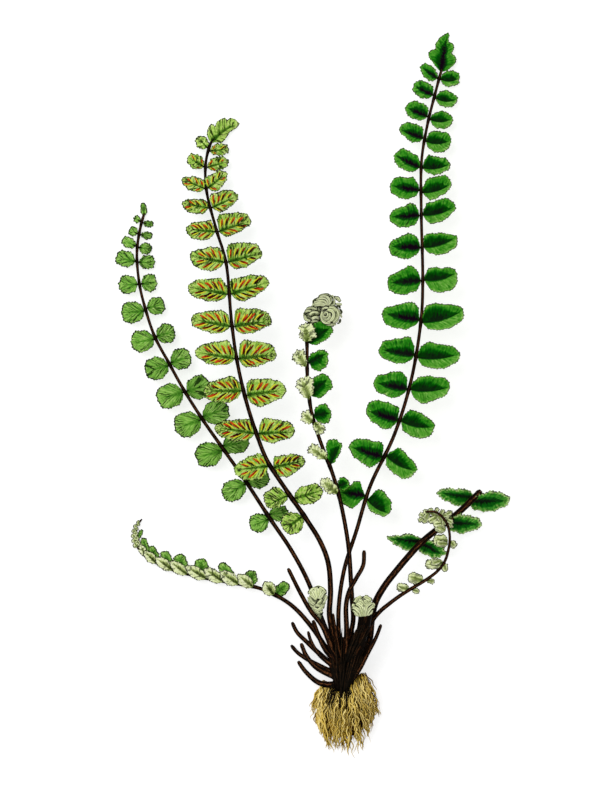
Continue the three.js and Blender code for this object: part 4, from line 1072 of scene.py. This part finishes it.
def rachis(name, stalk, tip_radius, foot_radius, node, rows=(), seed=0.0, dark=(0.35, 0.1)):
    """A frond's wiry stalk, grooved on top and a little swollen where its pinnae stand on short
    stalks. dark says how dark it is at its tip and at its foot."""
    line = along_curve(stalk, step=STALK_STEP)
    radius = tip_radius + (foot_radius - tip_radius) * np.linspace(0, 1, len(line)) ** STALK_TAPER
    near = np.zeros(len(line))
    parts = []
    for row in rows:
        root = nearest_place(line, *row[:2])
        away = np.append(unit(np.array(row[2:4]) - root[:2]), PINNA_STALK_DROP)
        distance = np.linalg.norm(line - root, axis=1)
        near = np.maximum(near, np.exp(-((distance / NODE_REACH) ** 2)))
        steps = np.linspace(0, 1, len(PINNA_STALK_RADII))[:, None] * (foot_radius + PINNA_STALK_LENGTH)
        parts.append(tube(root + away * steps, PINNA_STALK_RADII, sides=6, seed=seed, near=1.0))
    angle = np.arange(STALK_SIDES) * 2 * math.pi / STALK_SIDES
    shape = 1 - GROOVE * np.exp(-(((angle - math.pi / 2) / GROOVE_WIDTH) ** 2))
    radius = radius + NODE_SWELL * near
    radius[0] *= STALK_TIP_SHARE
    near = np.maximum(near, np.linspace(*dark, len(line)))
    parts.append(tube(line, radius, shape=shape, seed=seed, near=near))
    make_piece(name, parts, [STIPE_BROWN], [node])
    return line


def pinna(line, row, rng, rise=-0.9, clear=0.4, lift=0.0, **look):
    """A blade from its list row, which starts just outside the stalk."""
    foot_x, foot_y, tip_x, tip_y, tip_breadth, root_breadth, *forms = row
    tip_form, root_form = forms[:2] if len(forms) > 1 else (OVAL, OVAL)
    foot = nearest_place(line, foot_x, foot_y) + (0, 0, lift)
    tip = np.array([tip_x, tip_y, foot[2] + rise])
    foot = foot + unit(tip - foot) * clear
    return Blade(foot, tip, (tip_breadth, tip_form), (root_breadth, root_form), rng, **look)


def traced_blade(foot, tip, tip_side, root_side, rng, bend=0.0, **look):
    """A blade whose two half outlines run through the given places."""
    halves = traced_halves(foot, tip, tip_side, root_side, bend)
    return Blade(foot, tip, *halves, rng, bend=bend, **look)


def ball(centre, half, rng, near=0.0):
    """A lumpy closed ball inside a rolled-up tip. With near at 0 a leaf finish draws it in its dark
    margin colour, painted shade seen between the folds.
    """
    along = np.linspace(-0.99, 0.99, BALL_RINGS)
    line = np.array(centre) + along[:, None] * (0, half[1] * BALL_SHARE, 0)
    radius = half[0] * BALL_SHARE * np.sqrt(1 - along ** 2)
    bumps = rng.uniform(0.93, 1.05, (BALL_RINGS, BALL_SIDES))
    flat, seed = half[2] / half[0], rng.uniform(0, 1)
    return tube(line, radius, sides=BALL_SIDES, flat=flat, bumps=bumps, seed=seed, near=near)


def blades_piece(name, blades, finishes, node, extra=()):
    """One object of many blades. The finishes are those of their upper and their lower faces."""
    parts = [part for blade in blades for part in blade.parts()]
    make_piece(name, [*parts, *extra], finishes, [node])


def tall_frond():
    rng = np.random.default_rng(11)
    node = "tall_frond"
    line = rachis("tall_frond_stalk", TALL_STALK, 0.28, 0.46, node, TALL_RIGHT + TALL_LEFT)
    # Painted shade beside the midrib comes from the shade values; asym 1.0 gives the right pinnae a
    # painted lighter root half.
    right = {"lean": 6, "asym": 1.0, "sag": 0.5, "bulge": 0.02, "shade": (0.68, 0.12, 0.7)}
    left = {"lean": 6, "asym": 0.3, "sag": 0.15, "shade": (0.5, 0.34, 1.0)}
    blades = [pinna(line, row, rng, **right) for row in TALL_RIGHT]
    blades += [pinna(line, row, rng, **left) for row in TALL_LEFT]
    blades.append(traced_blade(*TALL_END, rng, depth=0.12, pitch=0.5, asym=0.1, droop=0.1,
                               shade=(0.5, 0.35, 1.0)))
    blades.append(traced_blade(*TALL_NOTCHED, rng, depth=0.12, asym=0.3, shade=(0.5, 0.34, 1.0)))
    blades_piece("tall_frond_blades", blades, [UPPER_GREEN, UNDER_GREEN], node)


def sorus(blade, sign, run, rng):
    """A line of sporangia along a vein, with the yellow flap that covered it on its foot side."""
    shares = np.linspace(rng.uniform(0.14, 0.26), rng.uniform(0.66, 0.84), SORUS_STATIONS)
    runs = run + SORUS_SLANT * shares ** 1.5 + 0.008 * np.sin(shares * 9 + rng.uniform(0, 6))
    swell = np.sin(np.linspace(0.12, math.pi - 0.12, SORUS_STATIONS)) ** 0.5
    size = (blade.length / LARGE_PINNA) ** 0.6
    shift = 0.17 * size / (blade.length * 0.9)
    flap = np.array([blade.at(sign, r - shift, share) for r, share in zip(runs, shares)])
    heap = np.array([blade.at(sign, r + shift, share) for r, share in zip(runs, shares)])
    heap = along_curve(heap, count=HEAP_STATIONS)
    bumps = rng.uniform(0.72, 1.3, (HEAP_STATIONS, SORUS_SIDES))
    at = np.linspace(0, 1, HEAP_STATIONS)
    radius = np.interp(at, np.linspace(0, 1, SORUS_STATIONS), swell) * rng.uniform(0.8, 1.1) * size
    way = {"sides": SORUS_SIDES, "up": blade.normal}
    return [
        tube(flap, FLAP_RADIUS * swell * size, finish=0, flat=0.55, seed=rng.uniform(0, 1), **way),
        tube(heap, HEAP_RADIUS * radius, finish=1, flat=0.8, seed=rng.uniform(0, 1), bumps=bumps, **way),
    ]


def fertile_frond():
    rng = np.random.default_rng(12)
    node = "fertile_frond"
    rows = FERTILE_RIGHT + FERTILE_LEFT
    line = rachis("fertile_frond_stalk", FERTILE_STALK, 0.27, 0.6, node, rows, dark=(1.0, 0.0))
    look = {"lean": 5, "asym": 0.1, "lag": 1.9, "bulge": 0.04, "clear": 0.45, "shade": (0.14, 0.14, 0.2)}
    blades, sori = [], []
    for row in rows:
        blade = pinna(line, row, rng, **look)
        blades.append(blade)
        for count, sign in ((min(row[-1], 4), 1), (row[-1] - 1, -1)):
            for run in np.linspace(0.25, 0.72, max(count, 0)):
                sori += sorus(blade, sign, run + rng.uniform(-0.02, 0.02), rng)
    blades.append(traced_blade(*FERTILE_END, rng, bend=0.5, depth=0.12, pitch=0.45, asym=0.1,
                               shade=(0.2, 0.2, 0.4)))
    blades_piece("fertile_frond_blades", blades, [UNDER_GREEN, UPPER_GREEN], node)
    make_piece("fertile_frond_sori", sori, [INDUSIUM_YELLOW, SPORANGIA_RED])


def round_leaved_frond():
    rng = np.random.default_rng(13)
    node = "round_leaved_frond"
    rows = ROUND_RIGHT + ROUND_LEFT
    line = rachis("round_leaved_frond_stalk", ROUND_STALK, 0.27, 0.52, node, rows)
    look = {"lean": 5, "rise": -0.7, "lag": 4.5, "asym": 0.1, "pitch": 0.6, "fold": 0.05, "curl": 0.1}
    blades = [pinna(line, (*row, ROUND, ROUND), rng, shade=(0.16, 0.16, 0.1), **look) for row in rows]
    foot, tip = (-31.2, 36.8, 0.7), (-31.5, 39.5, 0.35)
    blades.append(Blade(foot, tip, (0.8, OVAL), (0.6, OVAL), rng, depth=0.08))
    blades_piece("round_leaved_frond_blades", blades, [ROUND_GREEN, UNDER_GREEN], node)


def unrolling_frond():
    rng = np.random.default_rng(14)
    node = "unrolling_frond"
    rows = UNROLLING_GREEN + UNROLLING_PALE
    line = rachis("unrolling_frond_stalk", UNROLLING_STALK, 0.34, 0.52, node, rows)
    look = {"lean": 8, "rise": 0.2, "asym": 0.3, "fold": 0.14}
    green = [pinna(line, row, rng, shade=(0.6, 0.5, 0.6), **look) for row in UNROLLING_GREEN]
    pale = [pinna(line, row, rng, lift=row[8], pitch=0.55, depth=0.3, **look) for row in UNROLLING_PALE]
    blades_piece("unrolling_frond_green_blades", green, [UPPER_GREEN, PALE_GREEN], node)
    blades_piece("unrolling_frond_pale_blades", pale, [SHADED_PALE, PALE_GREEN], node)
    curled_tip("unrolling_frond_tip", UNROLLING_BALLS, UNROLLING_FOLDS, rng)


def arching_young_frond():
    rng = np.random.default_rng(15)
    node = "arching_young_frond"
    rows = ARCHING_PALE + ARCHING_GREEN
    line = rachis("arching_young_frond_stalk", ARCHING_STALK, 0.2, 0.58, node, rows)
    look = {"asym": 0.3, "pitch": 0.5, "depth": 0.12}
    # Painted shade on the tip half of each near pinna, where the next pinna overlaps it.
    near = {"rise": 0.4, "lift": 0.5, "clear": -0.2, "fold": 0.2, "shade": (0.52, 0.22, 0.9), **look}
    far = {"rise": -0.3, "clear": 0.2, "shade": (0.5, 0.5, 0.7), **look}
    pale = [pinna(line, (*row, LENS, LENS), rng, **near) for row in ARCHING_PALE]
    green = [pinna(line, (*row, FULL, FULL), rng, **far) for row in ARCHING_GREEN]
    for number in range(ARCHING_BEADS):
        place = line[2 + number]
        size = 0.42 + 0.03 * number
        turn = np.array([0.7, 0.5, 0]) if number % 2 else np.array([-0.5, 0.6, 0])
        start = place - turn * size * 0.3 + (0, 0, 0.3)
        end = place + turn * size * 1.6 + (0, 0, 0.25)
        half = (size, FULL)
        pale.append(Blade(start, end, half, half, rng, depth=0.06, pitch=0.4, arch=0.15, droop=0.1))
    blades_piece("arching_young_frond_near_blades", pale, [SHADED_PALE, PALE_GREEN], node)
    blades_piece("arching_young_frond_far_blades", green, [ROUND_GREEN, PALE_GREEN], node)


def broken_frond():
    rng = np.random.default_rng(16)
    node = "broken_frond"
    line = rachis("broken_frond_stalk", BROKEN_STALK, 0.64, 0.72, node)
    look = {"lean": 42, "lift": -0.4, "clear": -0.1, "depth": 0.34, "pitch": 0.72,
            "shade": (0.5, 0.5, 0.9)}
    blades = [pinna(line, (*row[:6], *row[7:]), rng, rise=row[6], **look) for row in BROKEN_PINNAE]
    blades_piece("broken_frond_blades", blades, [SLANTED_GREEN, UNDER_GREEN], node)


def nodding_frond():
    rng = np.random.default_rng(17)
    node = "nodding_frond"
    line = rachis("nodding_frond_stalk", NODDING_STALK, 0.24, 0.6, node)
    folded = {"fold": 0.0, "curl": 0.4, "arch": 0.4, "droop": 0.1, "depth": 0.14, "pitch": 0.5,
              "shade": (0.4, 0.4, 0.6)}
    frilled = {"fold": 0.0, "curl": 0.5, "arch": 0.3, "droop": 0.3, "depth": 0.12, "pitch": 0.4,
               "shade": (0.3, 0.3, 0.3)}
    blades = []
    for foot_x, foot_y, tip_x, tip_y, breadth, lift in NODDING_PINNAE:
        height = nearest_place(line, foot_x, foot_y)[2] + lift
        foot, tip, half = (foot_x, foot_y, height), (tip_x, tip_y, height - 0.3), (breadth, FULL)
        blades.append(Blade(foot, tip, half, half, rng, **folded))
    for x, y, size, turn, z in NODDING_FRILLS:
        away = np.array([math.cos(math.radians(turn)), math.sin(math.radians(turn)), 0]) * size
        middle, half = np.array([x, y, z - 0.3]), (size * 0.85, FULL)
        blades.append(Blade(middle - away, middle + away, half, half, rng, **frilled))
    cores = [ball(row[:3], row[3:], rng, near=0.4) for row in NODDING_BALLS]
    blades_piece("nodding_frond_blades", blades, [ROLLED_GREEN, PALE_GREEN], node, cores)


def side_leaflet(centre, half, turn, rng):
    """A small leaflet that hugs the side of a ball."""
    angle = (turn + rng.uniform(0, 0.5)) * 2 * math.pi * 1.618
    height = rng.uniform(-0.85, 0.1)
    level = math.sqrt(1 - height * height)
    outward = np.array([math.cos(angle) * level, math.sin(angle) * level, height])
    place = centre + outward * half
    normal = unit(outward / half)
    heading = unit(np.cross(normal, (0.3, 0.2, 1.0))) * rng.choice([-1, 1]) + normal * 0.1
    size = rng.uniform(0.5, 0.75)
    breadth = (size * 0.7, FULL)
    return Blade(place - heading * size, place + heading * size, breadth, breadth, rng, up=normal,
                 arch=0.25, curl=0.5, fold=0.0, droop=0.0, rows=3, depth=0.06, pitch=0.4)


def folded_leaflet(line, width, outline, rng):
    """A soft fold along a line. It carries a blade's values, so that a leaf finish can draw it."""
    share = np.linspace(0, 1, len(line))
    swell = width * (0.5 + 0.5 * np.sin(math.pi * (0.12 + 0.76 * share)) ** 0.7)
    bumps = 1 + 0.12 * np.sin(share * rng.uniform(9, 15) + rng.uniform(0, 6))
    fold = tube(line, swell * bumps, sides=FOLD_SIDES, flat=0.85, seed=rng.uniform(0, 1))
    _, across, rise = fold["values"]["blade"].T
    _, reach, seed = fold["values"]["place"].T
    # Painted shade: edge falls to 0 down the fold's sides and underside, so the leaf finish draws its
    # dark margin colour there.
    fold["values"] = {
        "blade": np.stack([0.3 + 0.5 * reach, across * 0.6, across + seed], axis=1),
        "place": np.stack([outline * np.maximum(rise, 0), seed, 0 * seed], axis=1),
    }
    return fold


def curled_tip(name, balls, folds, rng, outline=0.26):
    """A rolled-up frond tip: a core drawn dark as painted shade in the gaps, soft folded leaflets over it
    and small ones round its sides. outline says how far the top of a fold is from the dark line at its
    sides, painted shade in the creases between folds."""
    centres, halves = np.array(balls)[:, :3], np.array(balls)[:, 3:]

    def top(x, y):
        left = 1 - (((np.array([x, y]) - centres[:, :2]) / halves[:, :2]) ** 2).sum(axis=1)
        height = centres[:, 2] + halves[:, 2] * np.sqrt(np.maximum(left, 0)) + np.minimum(left, 0)
        return height.max()

    parts = []
    for centre, half in zip(centres, halves):
        # The core gets near 0, so it is drawn dark: painted shade between the folds.
        parts.append(ball(centre, half, rng))
        for turn in range(SIDE_LEAFLETS):
            parts += side_leaflet(centre, half, turn, rng).parts()
    for order, (width, places) in enumerate(folds):
        course = [(x, y, top(x, y) + FOLD_LIFT + FOLD_LAYER * order) for x, y in places]
        parts.append(folded_leaflet(along_curve(course, step=FOLD_STEP), width, outline, rng))
    make_piece(name, parts, [PALE_GREEN, PALE_GREEN])


def fiddleheads():
    rng = np.random.default_rng(18)
    rachis("left_fiddlehead_stalk", LEFT_FIDDLE_STALK, 0.6, 0.4, "left_fiddlehead")
    rachis("right_fiddlehead_stalk", RIGHT_FIDDLE_STALK, 1.35, 0.9, "right_fiddlehead", dark=(1.0, 0.8))
    curled_tip("left_fiddlehead_tip", LEFT_BALLS, LEFT_FOLDS, rng, outline=0.5)
    curled_tip("right_fiddlehead_tip", RIGHT_BALLS, RIGHT_FOLDS, rng, outline=0.5)


def crown():
    """The rootstock: a dark core, and narrow scales that fan out from where the roots start."""
    rng = np.random.default_rng(19)
    core = along_curve(CROWN_CORE, count=CROWN_RINGS)
    radius = np.interp(np.arange(CROWN_RINGS), [0, 5, 10, 15], [0.7, 1.8, 2.4, 2.2])
    bumps = rng.uniform(0.9, 1.06, (CROWN_RINGS, CROWN_SIDES))
    parts = [tube(core, radius, sides=CROWN_SIDES, flat=0.8, bumps=bumps, near=1.0)]
    parts += scale_fan(rng, 300, CROWN_FOOT, (9.8, -45.4, 5.8), (0.7, 4.5), (2.2, 3.2))
    parts += scale_fan(rng, 80, (9.4, -52.4, 6.2), (13.0, -43.4, 8.2), (0.7, 1.3), (1.6, 1.4), (0.5, 1.0))
    parts += scale_fan(rng, 26, (8.2, -56.4, 5.7), (7.4, -62.2, 6.3), (1.6, 3.6), (0.7, 0.9),
                       near=(0.8, 1.0), width=(0.07, 0.15))
    make_piece("rhizome_scales", parts, [SCALE_BLACK], ["rhizome"])


def place_between(line, share):
    """The x and y at the given shares of the way along a line of evenly spaced places."""
    at = share * (len(line) - 1)
    return np.stack([np.interp(at, range(len(line)), line[:, k]) for k in (0, 1)], axis=1)


def root_tuft(rng, place, starts, ends):
    """A few wavy roots that stay together. place is their share of the way across the root mass."""
    depth = rng.uniform(0, 1)
    begin = 0.0 if rng.uniform() < 0.45 else rng.uniform(0.06, 0.66)
    reach = 0.93 + 0.07 * math.sin(place * 31) + 0.05 * math.sin(place * 53 + 1)
    finish = min(begin + rng.uniform(0.25, 0.7), reach + rng.normal(0, 0.03))
    swing, beat, phase = rng.uniform(0.1, 0.28), rng.uniform(18, 34), rng.uniform(0, 6.3)
    lean = rng.normal(0, 0.14) + (place - 0.5) * 0.06
    parts = []
    for _ in range(ROOT_STRANDS):
        layer = np.clip(depth + rng.normal(0, 0.12), 0, 1)
        low = np.clip(begin + rng.uniform(-0.04, 0.12), 0, 0.8)
        high = max(low + 0.15, finish - rng.uniform(0, 0.12))
        u = np.linspace(low, high, ROOT_STATIONS)
        spread = place + rng.normal(0, 0.02) + (u - low) * (lean + rng.normal(0, 0.08))
        inside = np.clip(spread, 0, 1)
        start, end = place_between(starts, inside), place_between(ends, inside)
        flat = start + (end - start) * u[:, None]
        flat[:, 0] += np.sin(math.pi * np.minimum(u, 1)) * (inside * 2 - 1) + (spread - inside) * 9
        tall = np.interp(inside, [0, 0.25, 0.5, 1], [1.0, 3.0, 5.0, 5.0])
        tall = tall + (np.interp(u, [0, 0.35, 1], [5.4, 6.6, 1.4]) - tall) * smoothstep(0, 0.25, u)
        z = 0.35 + layer * tall * np.sqrt(np.maximum(1 - (inside * 2 - 1) ** 2 * 0.7, 0.1))
        wave = swing * np.sin(u * beat + phase + rng.normal(0, 0.5))
        wave = wave + 0.13 * np.sin(u * 41 + rng.uniform(0, 6.3))
        points = np.column_stack([flat[:, 0] + wave, flat[:, 1], z + 0.5 * wave + 0.1])
        points[:, 2] = np.maximum(points[:, 2], LOWEST_ROOT)
        line = along_curve(points, count=int(8 + 22 * (high - low)))
        run = np.linspace(0, 1, len(line))
        width = rng.uniform(*ROOT_RADII) * (1 - 0.8 * run ** 2) * smoothstep(-0.25, 0.15, run)
        # Painted shade: deeper roots and the parts near the crown get a higher near, which the root
        # finish draws darker.
        shadow = 0.5 * smoothstep(0.15, 0.0, low + run * (high - low))
        near = np.clip(0.8 * (1 - layer) + shadow, 0, 1)
        parts.append(tube(line, width, sides=ROOT_SIDES, seed=rng.uniform(0, 1), near=near))
    return parts


def roots():
    """Roots that hang in tufts from the crown, round a middle drawn dark as painted shade deep in the
    tangle.
    """
    rng = np.random.default_rng(20)
    starts = along_curve(ROOT_STARTS, count=ROOT_PLACES)
    ends = along_curve(ROOT_ENDS, count=ROOT_PLACES)
    middle = along_curve(ROOT_CORE, count=CORE_RINGS)
    bumps = rng.uniform(0.85, 1.1, (CORE_RINGS, CORE_SIDES))
    # near 0.9 draws the core dark: painted shade between the roots.
    parts = [tube(middle[:, :3], middle[:, 3], sides=CORE_SIDES, flat=0.42, bumps=bumps, near=0.9)]
    for tuft in range(ROOT_TUFTS):
        parts += root_tuft(rng, 0.03 + 0.94 * ((tuft * 0.618) % 1), starts, ends)
    make_piece("root_mass_strands", parts, [ROOT_TAN], ["root_mass"])


def old_stipes():
    for number, (tip_radius, foot_radius, stalk) in enumerate(OLD_STIPES, 1):
        name = f"old_stipe_{number:02d}"
        rachis(name + "_stalk", stalk, tip_radius, foot_radius, name, seed=0.07 * number)


def stage():
    mesh = bpy.data.meshes.new("floor")
    corners = [(-FLOOR_HALF, -FLOOR_HALF, 0), (FLOOR_HALF, -FLOOR_HALF, 0), (FLOOR_HALF, FLOOR_HALF, 0),
               (-FLOOR_HALF, FLOOR_HALF, 0)]
    mesh.from_pydata(corners, [], [(0, 1, 2, 3)])
    mesh.materials.append(floor_white())
    floor = bpy.data.objects.new("floor", mesh)
    bpy.context.scene.collection.objects.link(floor)


def light_and_camera():
    world = bpy.data.worlds.new("studio")
    world.use_nodes = True
    world.node_tree.nodes["Background"].inputs["Color"].default_value = (1, 1, 1, 1)
    world.node_tree.nodes["Background"].inputs["Strength"].default_value = WORLD_STRENGTH
    bpy.context.scene.world = world
    lamp = bpy.data.lights.new("soft_light", "AREA")
    lamp.shape = "DISK"
    lamp.size = LIGHT_SIZE
    lamp.energy = LIGHT_POWER
    light = bpy.data.objects.new("soft_light", lamp)
    light.location = LIGHT_PLACE
    away = np.array(LIGHT_PLACE) / np.linalg.norm(LIGHT_PLACE)
    light.rotation_euler = (math.acos(away[2]), 0, math.atan2(away[1], away[0]) + math.pi / 2)
    bpy.context.scene.collection.objects.link(light)
    lens = bpy.data.cameras.new("camera")
    lens.sensor_width = SENSOR
    lens.lens = SENSOR * CAMERA_HEIGHT / PICTURE_HEIGHT
    camera = bpy.data.objects.new("camera", lens)
    camera.location = (*VIEW_CENTRE, CAMERA_HEIGHT)
    bpy.context.scene.collection.objects.link(camera)
    bpy.context.scene.camera = camera
    bpy.context.scene.view_settings.view_transform = "Standard"


stage()
light_and_camera()
tall_frond()
fertile_frond()
round_leaved_frond()
unrolling_frond()
arching_young_frond()
broken_frond()
nodding_frond()
fiddleheads()
old_stipes()
crown()
roots()
